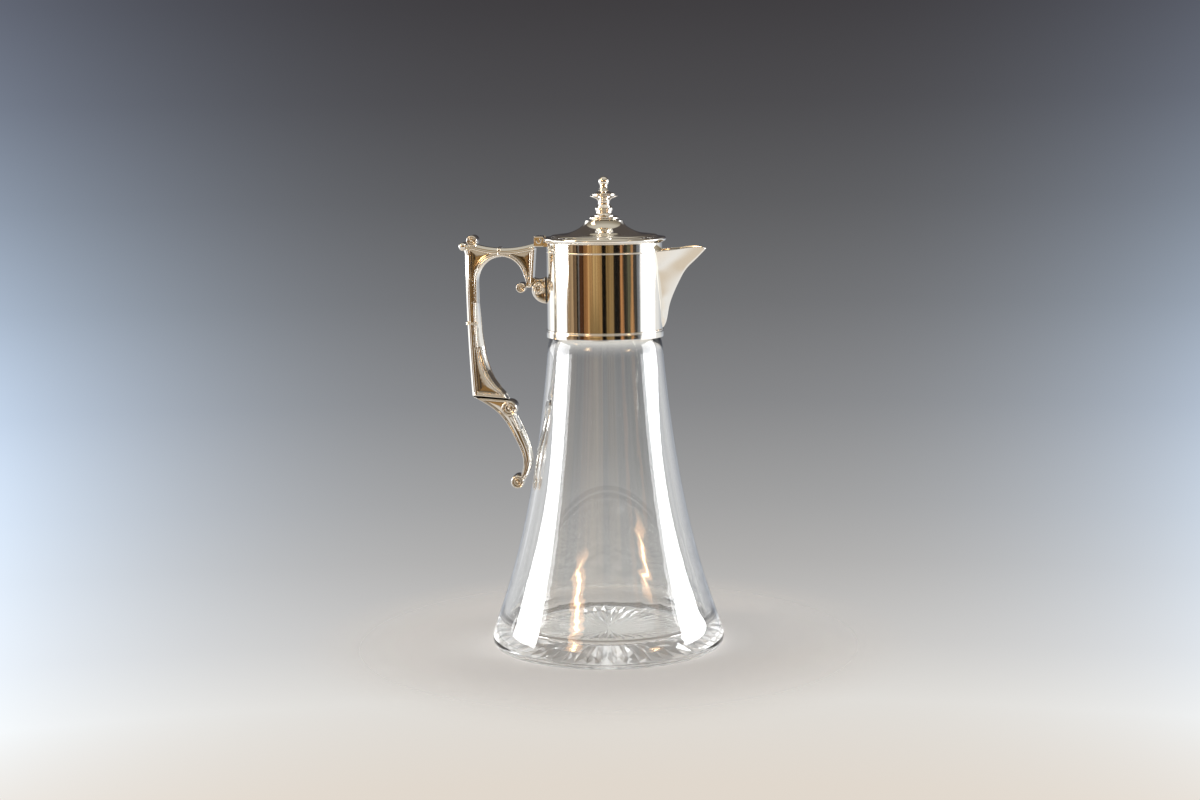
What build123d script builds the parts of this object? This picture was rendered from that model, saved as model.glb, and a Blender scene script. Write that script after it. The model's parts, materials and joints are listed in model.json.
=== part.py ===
from build123d import *
from math import exp, hypot, sqrt
import os

# A claret jug: a trumpet-shaped glass with a star-cut base, in a silver-plated collar that carries a
# beak spout, a cast scroll handle and a hinged lid with a turned finial. Millimetres. The jug's axis
# is Z and its foot stands on Z = 0. The spout points along +X and the handle is on the -X side.

# Glass body
FOOT_R = 72.4  # widest radius, at the top of the rounded foot
FOOT_ROUND_Z = 3.2  # height of that widest circle
FOOT_CONTACT_R = 70.2  # outer radius of the ring that touches the table
FOOT_RING_R = 60.0  # inner radius of that ring, where the star-cut recess starts
RECESS_DEPTH = 0.8  # how far the star-cut face is above the table
FLARE_Z = 20.0  # height where the foot's curve becomes the trumpet
FLARE_R = 67.8
FLARE_LENGTH = 118.0  # height over which the trumpet's flare dies away by a factor of e
SHOULDER_INSET = 0.6  # the glass just under the collar stands this far inside the collar's face
SHOULDER_Z = 192.2  # height of the shoulder that the collar seats on
NECK_WALL = 3.6  # ground neck inside the collar
NECK_LENGTH = 19.8  # how far the neck reaches into the collar
NECK_LIP_ROUND = 1.2
FLOOR_Z = 9.0  # inside floor of the jug
FLOOR_R = 48.0  # flat part of that floor
WALL_AT_FLARE = 6.5  # glass wall where the trumpet starts
FLARE_SAMPLES = 6  # points that carry the trumpet's curve

# Star cut under the base
STAR_RAYS = 24
RAY_INNER_R = 5.0
RAY_MIDDLE_R = 30.0
RAY_OUTER_R = 50.0
RAY_HALF_WIDTH = 3.4
RAY_DEPTH = 2.2

# Collar
COLLAR_R = 35.6
COLLAR_WALL = 1.0
COLLAR_H = 57.6
LOWER_BAND_H = 4.8
LOWER_BAND_PROUD = 0.5
UPPER_BAND_DROP = 5.3  # from the collar's top edge down to the middle of the line
UPPER_BAND_H = 1.0
UPPER_BAND_PROUD = 0.35
PLASTER_T = 0.5  # between the ground neck and the collar
PLASTER_INSET = 1.5  # plaster stops this far short of the lip

# Spout, measured out from the collar's face and down from the collar's top edge
SPOUT_WALL = 1.2
SPOUT_SECTIONS = (  # drop below the collar's top, keel's reach from the collar, half width
    (50.8, 1.9, 1.0),
    (42.8, 3.3, 1.7),
    (35.4, 5.2, 3.1),
    (28.8, 7.9, 6.3),
    (22.8, 10.8, 8.9),
    (16.4, 14.7, 11.8),
    (11.5, 19.6, 13.0),
    (6.0, 25.1, 13.3),
    (1.0, 30.0, 13.3),
)
CHANNEL_SECTIONS = 6  # the channel follows this many of them, from the top
SPOUT_NOSE_R = 0.8  # smallest rounding of the keel
SPOUT_NOSE_SHARE = 0.12  # rounding of the keel in a wide section, as a share of its width
SPOUT_SIDE_BULGE = 0.05  # how far a side bows out, as a share of its length
SPOUT_RIM = ((-2.0, 5.2), (12.0, 3.9), (20.0, 3.2), (26.3, 4.0), (32.0, 5.4))  # reach, drop
LIP_CLEARANCE = 2.5  # the pouring hole starts this far above the glass lip

# Lid
LID_SEAT_GAP = 0.1  # between the collar's top edge and the closed lid
LID_WALL = 1.0
LID_SLOPE = (  # drop of the radius from the collar's, height above the collar's top edge
    (0.9, 3.6),
    (7.4, 4.9),
    (14.8, 6.3),
    (20.1, 8.7),
    (22.7, 10.8),
    (23.9, 13.5),
)
RIM_INNER_DROP = 3.0  # the rim moulding reaches this far inside the collar's radius
RIM_PROFILE = (  # proud of the collar, height above the lid's underside, from the lower bead up
    (0.5, 0.0),
    (1.0, 0.45),
    (0.7, 0.95),
    (1.3, 1.2),
    (2.3, 2.0),
    (1.3, 2.9),
)
BEZEL_H = 3.6
BEZEL_WALL = 0.9
BEZEL_CLEARANCE = 0.9  # between the bezel and the inside of the collar

# Finial, heights above the lid's flat top
FINIAL_BORE_CLEARANCE = 0.1
STUD_R = 1.4
RING_H = 2.5
RING_R = 9.05
RING_FOOT_R = 7.8
RING_TOP_R = 7.6
RING_WIDEST = 1.1  # height of the ring's widest point
BALUSTER = (  # radius, height above the base ring
    (5.9, 0.5),
    (4.75, 2.4),
    (5.45, 4.5),
    (3.7, 7.1),
    (3.55, 8.6),
    (4.4, 10.9),
)
SAUCER = (  # radius, height above the baluster
    (4.4, 0.0),
    (8.86, 0.7),
    (6.6, 1.5),
    (7.33, 2.9),
    (5.0, 3.8),
    (3.05, 4.9),
)
BALL_R = 3.36
BALL_NECK_R = 2.15
BALL_NECK_H = 2.46
BALL_FOOT_R = 3.0
STUD_IN_BALL = 2.6
WASHER_R = 4.5
WASHER_H = 0.8
NUT_ACROSS_FLATS = 6.0
NUT_H = 2.4
STUD_BELOW_NUT = 0.9

# Hinge
HINGE_OUT = 2.9  # hinge axis, out from the collar's face
HINGE_UP = 2.2  # hinge axis, above the collar's top edge
KNUCKLE_R = 1.9
PIN_R = 0.9
PIN_CLEARANCE = 0.05
CENTRE_KNUCKLE_W = 5.0
KNUCKLE_GAP = 0.3
BLOCK_W = 13.0
BLOCK_OUT = 7.1  # outer face of the block, out from the collar's face
BLOCK_DROP = 2.2  # underside of the block, below the collar's top edge
BLOCK_EDGE = 0.5  # rounding of the block's corners
SLOT_CLEARANCE = 0.4  # between the centre knuckle and the block behind it
LID_NOTCH_CLEARANCE = 0.4
LID_NOTCH_IN = 0.3  # the lid's rim is cut flat this far inside the collar's face
LEAF_PLATE_T = 0.8
LEAF_PLATE_FOOT = 0.2  # the leaf's plate stops this far above the lid's underside
LEAF_TOP = 1.3  # top of the leaf above the hinge axis
STRAP_BELOW = 1.2  # underside of the strap below the hinge axis
PIN_HEAD = 0.4

# Handle casting, in the XZ plane: out from the collar's face, and from the collar's top edge
HANDLE_W = 12.0
HANDLE_EDGE = 0.8
GRIP_OUT_TOP = 50.1  # outer edge of the grip under the top scroll
GRIP_OUT_MIDDLE = 49.4
GRIP_OUT_BOTTOM = 47.2
GRIP_TOP_DROP = 6.9
GRIP_CORNER_DROP = 94.9
GRIP_T = 6.4  # thickness of the upright, outer face to inner face
ARCH_CROWN_DROP = 3.2  # lowest point of the arch's top edge
ARCH_CROWN_OUT = 28.9
ARCH_END_DROP = 0.3  # the arch's top edge where it meets the hinge block
WINDOW_HALF_W = 15.0
WINDOW_H = 16.1
WINDOW_CENTRE_OUT = 28.2
WINDOW_SPRING_DROP = 23.8  # where the arch of the window springs from
BAR_FOOT_OUT = 8.9  # face of the bar towards the collar, at the bar's foot
BAR_FOOT_DROP = 27.6
KNEE_PULL = ((0.0, 20.0), (12.0, -6.5))  # how the curve leaves the grip and reaches the heel
HEEL_DROP = 92.7  # top of the heel's end face
HEEL_OUT = 26.5
HEEL_BACK = 24.5  # bottom of the heel's end face
HEEL_BACK_DROP = 96.8
TOP_SCROLL = (45.6, -1.6, 3.4)  # out, drop, radius
CORNER_BALL = (51.5, 2.0, 2.5)
HOOK_SCROLL = (15.7, 27.4, 3.0)
CORNER_VOLUTE = (24.2, 102.1, 5.0)
TAIL_T = 4.6
TAIL_GAP = 2.6  # between the tail's nearest point and the glass
TAIL_NEAR_DROP = 137.5  # height of that nearest point
TAIL_OUTSIDE = ((18.6, -31.1), (9.6, -16.6))  # out from and down from that nearest point
TAIL_INSIDE = (4.2, -17.6)
TAIL_SCROLL = (8.1, 10.8, 4.2)  # the same, and the scroll's radius
EYE_SHARE = 0.45  # eye of a scroll, as a share of the scroll's radius
EYE_PROUD = 0.5
TIE_W = 2.2
TIE_PROUD = 0.4
GRIP_TIE_DROP = 49.2
BRACKET_W = 11.0
BRACKET_TOP = ((3.6, 21.9), (-1.0, 20.1))  # out and drop, from the bar to inside the collar
BRACKET_TOP_DROP = 20.7  # where its top leaves the bar
BRACKET_BELOW = ((-1.0, 37.6), (4.9, 35.9), (9.3, 29.4))
BRACKET_SCROLL = (4.9, 27.7, 3.9)
BRACKET_SCROLL_PROUD = 0.7

# Worked out from the sizes above
COLLAR_TOP = SHOULDER_Z + COLLAR_H
COLLAR_BORE_R = COLLAR_R - COLLAR_WALL
SHOULDER_R = COLLAR_R - SHOULDER_INSET
NECK_R = COLLAR_BORE_R - PLASTER_T
NECK_BORE_R = NECK_R - NECK_WALL
NECK_TOP = SHOULDER_Z + NECK_LENGTH
LID_BOTTOM = COLLAR_TOP + LID_SEAT_GAP
LID_TOP = COLLAR_TOP + LID_SLOPE[-1][1]
HINGE_X = -(COLLAR_R + HINGE_OUT)
HINGE_Z = COLLAR_TOP + HINGE_UP
ROOM = 400.0  # a length beyond every piece, for cutting
SPOUT_ROOT = 3.0  # how far the spout's sections start inside the collar's face


def glass_radius(z):
    """Outer radius of the trumpet at height z: a flare that dies away towards the shoulder."""
    end = exp((FLARE_Z - SHOULDER_Z) / FLARE_LENGTH)
    share = (exp((FLARE_Z - z) / FLARE_LENGTH) - end) / (1 - end)
    return SHOULDER_R + (FLARE_R - SHOULDER_R) * share


def wall_thickness(z):
    """Thickness of the trumpet's wall at height z, from its start to the neck."""
    share = (z - FLARE_Z) / (SHOULDER_Z - FLARE_Z)
    return WALL_AT_FLARE + (SHOULDER_R - NECK_BORE_R - WALL_AT_FLARE) * share


def turned(*curves):
    """The solid that a closed outline of (radius, height) curves sweeps round the jug's axis."""
    return revolve(Plane.XZ * make_face(Curve() + list(curves)), Axis.Z)


def turned_polygon(*points):
    """The same for an outline of straight lines."""
    return turned(Polyline(*points, close=True))


def washer(inner, outer, low, high):
    """A plain ring round the jug's axis, from height low to height high."""
    return turned_polygon((inner, low), (outer, low), (outer, high), (inner, high))


def core(radius):
    """A cylinder on the jug's axis, from the table to above the finial, for cutting."""
    return Cylinder(radius, ROOM, align=(Align.CENTER, Align.CENTER, Align.MIN))


def plate(outline, width):
    """An outline in the XZ plane, made as wide as width about the plane Y = 0."""
    return extrude(Plane.XZ * outline, width / 2, both=True)


def place(out, drop):
    """A point of the XZ plane on the handle's side, from its distances off the collar's top edge."""
    return (-(COLLAR_R + out), COLLAR_TOP - drop)


def disc(spot):
    """The round outline of a scroll, given as its distances out and down and its radius."""
    out, drop, radius = spot
    return Pos(*place(out, drop)) * Circle(radius)


def inset(points, depth):
    """A run of points moved by depth to the right of the way it runs."""
    moved = []
    for index, (x, y) in enumerate(points):
        before, after = points[max(index - 1, 0)], points[min(index + 1, len(points) - 1)]
        along_x, along_y = after[0] - before[0], after[1] - before[1]
        length = hypot(along_x, along_y)
        moved.append((x + depth * along_y / length, y - depth * along_x / length))
    return moved


def star_ray():
    """One wheel cut of the star, a pointed groove deepest at its middle."""
    low, high = -RECESS_DEPTH, RECESS_DEPTH + RAY_DEPTH
    widen = 1 + 2 * RECESS_DEPTH / RAY_DEPTH
    centre = Vector(RAY_MIDDLE_R, 0, low)
    base = [
        Vector(RAY_MIDDLE_R - (RAY_MIDDLE_R - RAY_INNER_R) * widen, 0, low),
        Vector(RAY_MIDDLE_R, -RAY_HALF_WIDTH * widen, low),
        Vector(RAY_MIDDLE_R + (RAY_OUTER_R - RAY_MIDDLE_R) * widen, 0, low),
        Vector(RAY_MIDDLE_R, RAY_HALF_WIDTH * widen, low),
    ]
    apex = Vector(centre.X, 0, high)
    sides = [
        Face(Wire.make_polygon([base[i], base[(i + 1) % 4], apex], close=True)) for i in range(4)
    ]
    return Solid(Shell([*sides, Face(Wire.make_polygon(base, close=True))]))


def make_glass_body():
    """Thick-based trumpet of clear glass with a ground neck."""
    step = (SHOULDER_Z - FLARE_Z) / (FLARE_SAMPLES - 1)
    heights = [FLARE_Z + step * i for i in range(FLARE_SAMPLES)]
    outside = [(FOOT_R, FOOT_ROUND_Z)] + [(glass_radius(z), z) for z in heights]
    inside = [(glass_radius(z) - wall_thickness(z), z) for z in heights]
    foot_drop = (FOOT_R - FOOT_CONTACT_R) * (1 - sqrt(0.5))
    lip = (NECK_R - NECK_LIP_ROUND, NECK_TOP)
    body = turned(
        Line((0, RECESS_DEPTH), (FOOT_RING_R - RECESS_DEPTH, RECESS_DEPTH)),
        Line((FOOT_RING_R - RECESS_DEPTH, RECESS_DEPTH), (FOOT_RING_R, 0)),
        Line((FOOT_RING_R, 0), (FOOT_CONTACT_R, 0)),
        ThreePointArc(
            (FOOT_CONTACT_R, 0),
            (FOOT_R - foot_drop, FOOT_ROUND_Z * (1 - sqrt(0.5))),
            (FOOT_R, FOOT_ROUND_Z),
        ),
        Spline(*outside),
        Line((SHOULDER_R, SHOULDER_Z), (NECK_R, SHOULDER_Z)),
        Line((NECK_R, SHOULDER_Z), (NECK_R, NECK_TOP - NECK_LIP_ROUND)),
        Line((NECK_R, NECK_TOP - NECK_LIP_ROUND), lip),
        Line(lip, (NECK_BORE_R, NECK_TOP)),
        Line((NECK_BORE_R, NECK_TOP), (NECK_BORE_R, SHOULDER_Z)),
        Spline(*reversed(inside)),
        Bezier(inside[0], (inside[0][0] + WALL_AT_FLARE / 2, FLOOR_Z), (FLOOR_R, FLOOR_Z)),
        Line((FLOOR_R, FLOOR_Z), (0, FLOOR_Z)),
        Line((0, FLOOR_Z), (0, RECESS_DEPTH)),
    )
    ray = star_ray()
    return body - [Rot(0, 0, 360 / STAR_RAYS * i) * ray for i in range(STAR_RAYS)]


def make_plaster_bed():
    """Cement between the ground neck and the collar."""
    return washer(NECK_R, COLLAR_BORE_R, SHOULDER_Z, NECK_TOP - PLASTER_INSET)


def spout_section(section, wall):
    """One horizontal section of the spout's form, inset by wall: two bowed sides to a round nose."""
    drop, reach, half = section
    root = COLLAR_R - SPOUT_ROOT
    tip = COLLAR_R + reach - wall
    half = half - wall
    slope = hypot(tip - root, half)
    bow = SPOUT_SIDE_BULGE * slope
    middle = ((root + tip) / 2 + bow * half / slope, half / 2 + bow * (tip - root) / slope)
    nose = max(SPOUT_NOSE_R, SPOUT_NOSE_SHARE * half)
    outline = make_face(
        [
            Line((root, -half), (root, half)),
            ThreePointArc((root, half), middle, (tip, 0)),
            ThreePointArc((tip, 0), (middle[0], -middle[1]), (root, -half)),
        ]
    )
    corner = outline.vertices().sort_by(Axis.X)[-1]
    return Pos(0, 0, COLLAR_TOP - drop) * fillet(corner, min(nose, half / 2))


def spout_form():
    """The spout's outer form, which the line round the collar stops against."""
    return loft([spout_section(section, 0) for section in SPOUT_SECTIONS])


def spout_channel():
    """The space inside the spout, carried in through the collar's wall."""
    sections = SPOUT_SECTIONS[-CHANNEL_SECTIONS:]
    return loft([spout_section(section, SPOUT_WALL) for section in sections])


def make_spout():
    """Beak spout: a thin shell open on top, soldered to the collar."""
    rim = [(COLLAR_R + reach, COLLAR_TOP - drop) for reach, drop in SPOUT_RIM]
    above = make_face(
        [
            Spline(*rim),
            Line(rim[-1], (rim[-1][0], COLLAR_TOP + COLLAR_H)),
            Line((rim[-1][0], COLLAR_TOP + COLLAR_H), (rim[0][0], COLLAR_TOP + COLLAR_H)),
            Line((rim[0][0], COLLAR_TOP + COLLAR_H), rim[0]),
        ]
    )
    return spout_form() - spout_channel() - core(COLLAR_R) - plate(above, ROOM)


def make_collar_sleeve():
    """Plain tube on the glass shoulder, with the pouring hole above the glass lip."""
    low = NECK_TOP + LIP_CLEARANCE
    above_lip = Pos(0, 0, low) * Box(ROOM, ROOM, ROOM, align=(Align.CENTER, Align.CENTER, Align.MIN))
    sleeve = washer(COLLAR_BORE_R, COLLAR_R, SHOULDER_Z, COLLAR_TOP)
    below_rim = Pos(0, 0, COLLAR_TOP - SPOUT_RIM[0][1]) * Box(
        ROOM, ROOM, ROOM, align=(Align.CENTER, Align.CENTER, Align.MAX)
    )
    return sleeve - (spout_channel() & above_lip & below_rim)


def make_collar_lower_band():
    """Proud band at the collar's bottom edge, with a line along its top."""
    low, high = SHOULDER_Z, SHOULDER_Z + LOWER_BAND_H
    outer = COLLAR_R + LOWER_BAND_PROUD
    return turned_polygon(
        (COLLAR_R, low), (outer, low), (outer, high - LOWER_BAND_PROUD), (COLLAR_R, high)
    )


def make_collar_upper_band():
    """Fine half-round line under the lid, broken where the spout stands."""
    middle = COLLAR_TOP - UPPER_BAND_DROP
    low, high = middle - UPPER_BAND_H / 2, middle + UPPER_BAND_H / 2
    line = turned(
        Line((COLLAR_R, high), (COLLAR_R, low)),
        ThreePointArc((COLLAR_R, low), (COLLAR_R + UPPER_BAND_PROUD, middle), (COLLAR_R, high)),
    )
    return line - spout_form()


def grip_outline():
    """Upright grip, top arch and inner bar, all round the finger window."""
    grip_half = (GRIP_TOP_DROP + GRIP_CORNER_DROP) / 2
    grip_inner = GRIP_OUT_MIDDLE - GRIP_T
    corner = place(GRIP_OUT_BOTTOM, GRIP_CORNER_DROP)
    under_scroll = place(GRIP_OUT_TOP, GRIP_TOP_DROP)
    shoulder = place(*CORNER_BALL[:2])
    arch_start = place(TOP_SCROLL[0], TOP_SCROLL[1] + TOP_SCROLL[2] / 2)
    arch_end = place(BLOCK_OUT, ARCH_END_DROP)
    bar_top = place(BLOCK_OUT, BLOCK_DROP)
    bar_foot = place(BAR_FOOT_OUT, BAR_FOOT_DROP)
    spring_bar = place(WINDOW_CENTRE_OUT - WINDOW_HALF_W, WINDOW_SPRING_DROP)
    spring_grip = place(WINDOW_CENTRE_OUT + WINDOW_HALF_W, WINDOW_SPRING_DROP)
    bar_foot_inner = (spring_bar[0], bar_foot[1])
    knee = place(grip_inner, grip_half)
    knee_pull = place(grip_inner + KNEE_PULL[0][0], grip_half + KNEE_PULL[0][1])
    heel_pull = place(HEEL_OUT + KNEE_PULL[1][0], HEEL_DROP + KNEE_PULL[1][1])
    heel = place(HEEL_OUT, HEEL_DROP)
    heel_back = place(HEEL_BACK, HEEL_BACK_DROP)
    return make_face(
        [
            ThreePointArc(corner, place(GRIP_OUT_MIDDLE, grip_half), under_scroll),
            Line(under_scroll, shoulder),
            Line(shoulder, arch_start),
            ThreePointArc(arch_start, place(ARCH_CROWN_OUT, ARCH_CROWN_DROP), arch_end),
            Line(arch_end, bar_top),
            Line(bar_top, bar_foot),
            Line(bar_foot, bar_foot_inner),
            Line(bar_foot_inner, spring_bar),
            EllipticalCenterArc(
                place(WINDOW_CENTRE_OUT, WINDOW_SPRING_DROP), WINDOW_HALF_W, WINDOW_H, arc_size=180
            ),
            Line(spring_grip, knee),
            Bezier(knee, knee_pull, heel_pull, heel),
            Line(heel, heel_back),
            Line(heel_back, corner),
        ]
    )


def cast(*outlines):
    """A casting of the handle from one or more outlines, with the edges of their faces rounded."""
    plates = [plate(outline, HANDLE_W) for outline in outlines]
    rounded = [fillet(p.faces().filter_by(Axis.Y).edges(), HANDLE_EDGE) for p in plates]
    return rounded[0] + rounded[1:]


def make_handle_grip():
    """The main casting, with its two corner scrolls and the hook at the foot of the bar."""
    return cast(grip_outline(), disc(TOP_SCROLL), disc(CORNER_BALL), disc(HOOK_SCROLL))


def tail_place(out, down):
    """A point of the tail, from its distances off the point where it comes nearest the glass."""
    nearest = glass_radius(COLLAR_TOP - TAIL_NEAR_DROP) + TAIL_GAP - COLLAR_R
    return place(nearest + out, TAIL_NEAR_DROP + down)


def make_handle_tail():
    """Lower scroll limb, from the heel of the grip down to its scroll beside the glass."""
    corner = place(GRIP_OUT_BOTTOM, GRIP_CORNER_DROP)
    heel = place(HEEL_BACK, HEEL_BACK_DROP)
    volute_out, volute_drop, volute_r = CORNER_VOLUTE
    under_volute = place(volute_out - volute_r / 2, volute_drop + volute_r / 2)
    out, down, radius = TAIL_SCROLL
    scroll_outer = tail_place(out - radius / 3, down - radius * 2 / 3)
    scroll_inner = tail_place(out - radius * 2 / 3, down + radius / 3)
    outline = make_face(
        [
            Line(heel, corner),
            Spline(corner, *[tail_place(*p) for p in TAIL_OUTSIDE], tail_place(TAIL_T, 0), scroll_outer),
            Line(scroll_outer, scroll_inner),
            Spline(scroll_inner, tail_place(0, 0), tail_place(*TAIL_INSIDE), under_volute),
            Line(under_volute, heel),
        ]
    )
    scroll = Pos(*tail_place(out, down)) * Circle(radius)
    return cast(outline, scroll, disc(CORNER_VOLUTE))


def make_handle_bracket():
    """Scroll bracket between the bar's foot and the collar."""
    fall = (BRACKET_TOP_DROP - BLOCK_DROP) / (BAR_FOOT_DROP - BLOCK_DROP)
    on_bar = place(BLOCK_OUT + (BAR_FOOT_OUT - BLOCK_OUT) * fall, BRACKET_TOP_DROP)
    bar_foot = place(BAR_FOOT_OUT, BAR_FOOT_DROP)
    middle, inside = [place(*point) for point in BRACKET_TOP]
    low, belly, outer = [place(*point) for point in BRACKET_BELOW]
    outline = make_face(
        [
            ThreePointArc(on_bar, middle, inside),
            Line(inside, low),
            ThreePointArc(low, belly, outer),
            Line(outer, bar_foot),
            Line(bar_foot, on_bar),
        ]
    )
    scroll = plate(disc(BRACKET_SCROLL), BRACKET_W + 2 * BRACKET_SCROLL_PROUD)
    return plate(outline, BRACKET_W) + scroll - core(COLLAR_R)


def make_handle_scroll_eyes():
    """Round bosses on both faces of each scroll."""
    scrolls = [(place(*s[:2]), s[2]) for s in (TOP_SCROLL, CORNER_BALL, HOOK_SCROLL, CORNER_VOLUTE)]
    scrolls.append((tail_place(*TAIL_SCROLL[:2]), TAIL_SCROLL[2]))
    eyes = [
        Pos(x, side * (HANDLE_W + EYE_PROUD) / 2, z) * Rot(90, 0, 0) * Cylinder(r * EYE_SHARE, EYE_PROUD)
        for (x, z), r in scrolls
        for side in (-1, 1)
    ]
    return Compound(children=eyes)


def tie(low, high):
    """A band between two corners of the XZ plane, as proud of the casting's faces as of its edges."""
    width, height = abs(high[0] - low[0]), abs(high[1] - low[1])
    centre = Pos((low[0] + high[0]) / 2, 0, (low[1] + high[1]) / 2)
    band = centre * Box(width, HANDLE_W + 2 * TIE_PROUD, height)
    return (band - plate(grip_outline(), HANDLE_W)).solid()


def make_handle_bead_ties():
    """Two narrow bands round the casting: one over the arch's crown and one round the grip."""
    half = TIE_W / 2
    window_top = WINDOW_SPRING_DROP - WINDOW_H
    over_arch = tie(
        place(ARCH_CROWN_OUT + half, window_top + TIE_PROUD),
        place(ARCH_CROWN_OUT - half, ARCH_CROWN_DROP - TIE_PROUD),
    )
    round_grip = tie(
        place(GRIP_OUT_MIDDLE + TIE_PROUD, GRIP_TIE_DROP + half),
        place(GRIP_OUT_MIDDLE - GRIP_T - TIE_PROUD, GRIP_TIE_DROP - half),
    )
    return Compound(children=[over_arch, round_grip])


def knuckle_bore():
    """Hole along the hinge axis that the pin runs in."""
    return Pos(HINGE_X, 0, HINGE_Z) * Rot(90, 0, 0) * Cylinder(PIN_R + PIN_CLEARANCE, ROOM)


def make_hinge_block():
    """Block between the arch and the collar, with the two outer knuckles and the slot between."""
    outer, face = -(COLLAR_R + BLOCK_OUT), HINGE_X + KNUCKLE_R
    under, step, top = COLLAR_TOP - BLOCK_DROP, COLLAR_TOP, HINGE_Z + KNUCKLE_R
    root = -COLLAR_BORE_R
    turn = KNUCKLE_R * sqrt(0.5)
    outline = make_face(
        [
            Line((outer, under), (root, under)),
            Line((root, under), (root, step)),
            Line((root, step), (face, step)),
            Line((face, step), (face, HINGE_Z)),
            ThreePointArc((face, HINGE_Z), (HINGE_X + turn, HINGE_Z + turn), (HINGE_X, top)),
            Line((HINGE_X, top), (outer, top)),
            Line((outer, top), (outer, under)),
        ]
    )
    slot_w = CENTRE_KNUCKLE_W + 2 * KNUCKLE_GAP
    slot_r = KNUCKLE_R + SLOT_CLEARANCE
    slot = Pos(HINGE_X - slot_r, 0, HINGE_Z - slot_r) * Box(
        ROOM, slot_w, ROOM, align=(Align.MIN, Align.CENTER, Align.MIN)
    )
    body = plate(outline, BLOCK_W)
    corners = body.faces().sort_by(Axis.X)[0].edges()
    return fillet(corners, BLOCK_EDGE) - core(COLLAR_R) - slot - knuckle_bore()


def make_hinge_pin():
    """Pin through all three knuckles, with its ends chamfered into low heads."""
    pin = Cylinder(PIN_R, BLOCK_W + 2 * PIN_HEAD)
    return Pos(HINGE_X, 0, HINGE_Z) * Rot(90, 0, 0) * chamfer(pin.edges().filter_by(GeomType.CIRCLE), PIN_HEAD)


def notch_x():
    """Where the lid's rim is cut flat, in front of the hinge block."""
    return -(COLLAR_R - LID_NOTCH_IN)


def make_lid_leaf():
    """Centre knuckle, its strap, and the plate that closes the notch in the lid's rim."""
    knuckle = Pos(HINGE_X, 0, HINGE_Z) * Rot(90, 0, 0) * Cylinder(KNUCKLE_R, CENTRE_KNUCKLE_W)
    corner = Align.MIN, Align.CENTER, Align.MIN
    strap = Pos(HINGE_X, 0, HINGE_Z - STRAP_BELOW) * Box(
        notch_x() - HINGE_X, CENTRE_KNUCKLE_W, STRAP_BELOW + LEAF_TOP, align=corner
    )
    foot = LID_BOTTOM + LEAF_PLATE_FOOT
    flange = Pos(notch_x() - LEAF_PLATE_T, 0, foot) * Box(
        LEAF_PLATE_T, BLOCK_W, HINGE_Z + LEAF_TOP - foot, align=corner
    )
    return knuckle + strap + flange - knuckle_bore()


def lid_slope():
    """The lid's outer and inner curves, from its rim up to its flat top."""
    outside = [(COLLAR_R - drop, COLLAR_TOP + rise) for drop, rise in LID_SLOPE]
    inside = inset(outside, -LID_WALL)
    inside[-1] = (inside[-1][0], LID_TOP - LID_WALL)
    return outside, inside


def make_lid_cover():
    """Spun trumpet-shaped cover, bored for the finial's stud."""
    outside, inside = lid_slope()
    bore = STUD_R + FINIAL_BORE_CLEARANCE
    return turned(
        Spline(*outside),
        Line(outside[-1], (bore, LID_TOP)),
        Line((bore, LID_TOP), (bore, LID_TOP - LID_WALL)),
        Line((bore, LID_TOP - LID_WALL), inside[-1]),
        Spline(*reversed(inside)),
        Line(inside[0], (outside[0][0], inside[0][1])),
        Line((outside[0][0], inside[0][1]), outside[0]),
    )


def make_lid_rim_moulding():
    """Two beads round the lid's rim, notched for the hinge."""
    outside, inside = lid_slope()
    inner = COLLAR_R - RIM_INNER_DROP
    beads = [(COLLAR_R + proud, LID_BOTTOM + rise) for proud, rise in RIM_PROFILE]
    ring = turned(
        Line((inner, LID_BOTTOM), beads[0]),
        ThreePointArc(*beads[:3]),
        Line(beads[2], beads[3]),
        ThreePointArc(*beads[3:]),
        Line(beads[5], outside[0]),
        Line(outside[0], (outside[0][0], inside[0][1])),
        Line((outside[0][0], inside[0][1]), (inner, inside[0][1])),
        Line((inner, inside[0][1]), (inner, LID_BOTTOM)),
    )
    notch = Pos(notch_x(), 0, LID_BOTTOM) * Box(
        ROOM,
        BLOCK_W + 2 * LID_NOTCH_CLEARANCE,
        ROOM,
        align=(Align.MAX, Align.CENTER, Align.CENTER),
    )
    return ring - notch


def make_lid_bezel():
    """Inner ring that drops into the collar when the lid is shut."""
    outer = COLLAR_BORE_R - BEZEL_CLEARANCE
    return washer(outer - BEZEL_WALL, outer, LID_BOTTOM - BEZEL_H, LID_BOTTOM)


def finial_levels():
    """Heights where the baluster, the saucer and the ball start, from the lid's flat top up."""
    baluster = LID_TOP + RING_H
    saucer = baluster + BALUSTER[-1][1]
    return baluster, saucer, saucer + SAUCER[-1][1]


def make_finial_base_ring():
    """Rounded ring at the foot of the finial."""
    bore = STUD_R + FINIAL_BORE_CLEARANCE
    low, high = LID_TOP, LID_TOP + RING_H
    return turned(
        Line((bore, high), (bore, low)),
        Line((bore, low), (RING_FOOT_R, low)),
        ThreePointArc((RING_FOOT_R, low), (RING_R, low + RING_WIDEST), (RING_TOP_R, high)),
        Line((RING_TOP_R, high), (bore, high)),
    )


def make_finial_baluster():
    """Turned knop and stem."""
    bore = STUD_R + FINIAL_BORE_CLEARANCE
    low, high, _ = finial_levels()
    side = [(radius, low + rise) for radius, rise in BALUSTER]
    return turned(
        Line((bore, high), (bore, low)),
        Line((bore, low), (side[0][0], low)),
        Line((side[0][0], low), side[0]),
        Spline(*side),
        Line(side[-1], (bore, high)),
    )


def make_finial_saucer():
    """Sharp-edged disc with a smaller one above it."""
    bore = STUD_R + FINIAL_BORE_CLEARANCE
    _, low, high = finial_levels()
    side = [(radius, low + rise) for radius, rise in SAUCER]
    return turned_polygon((bore, low), *side, (bore, high))


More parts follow.
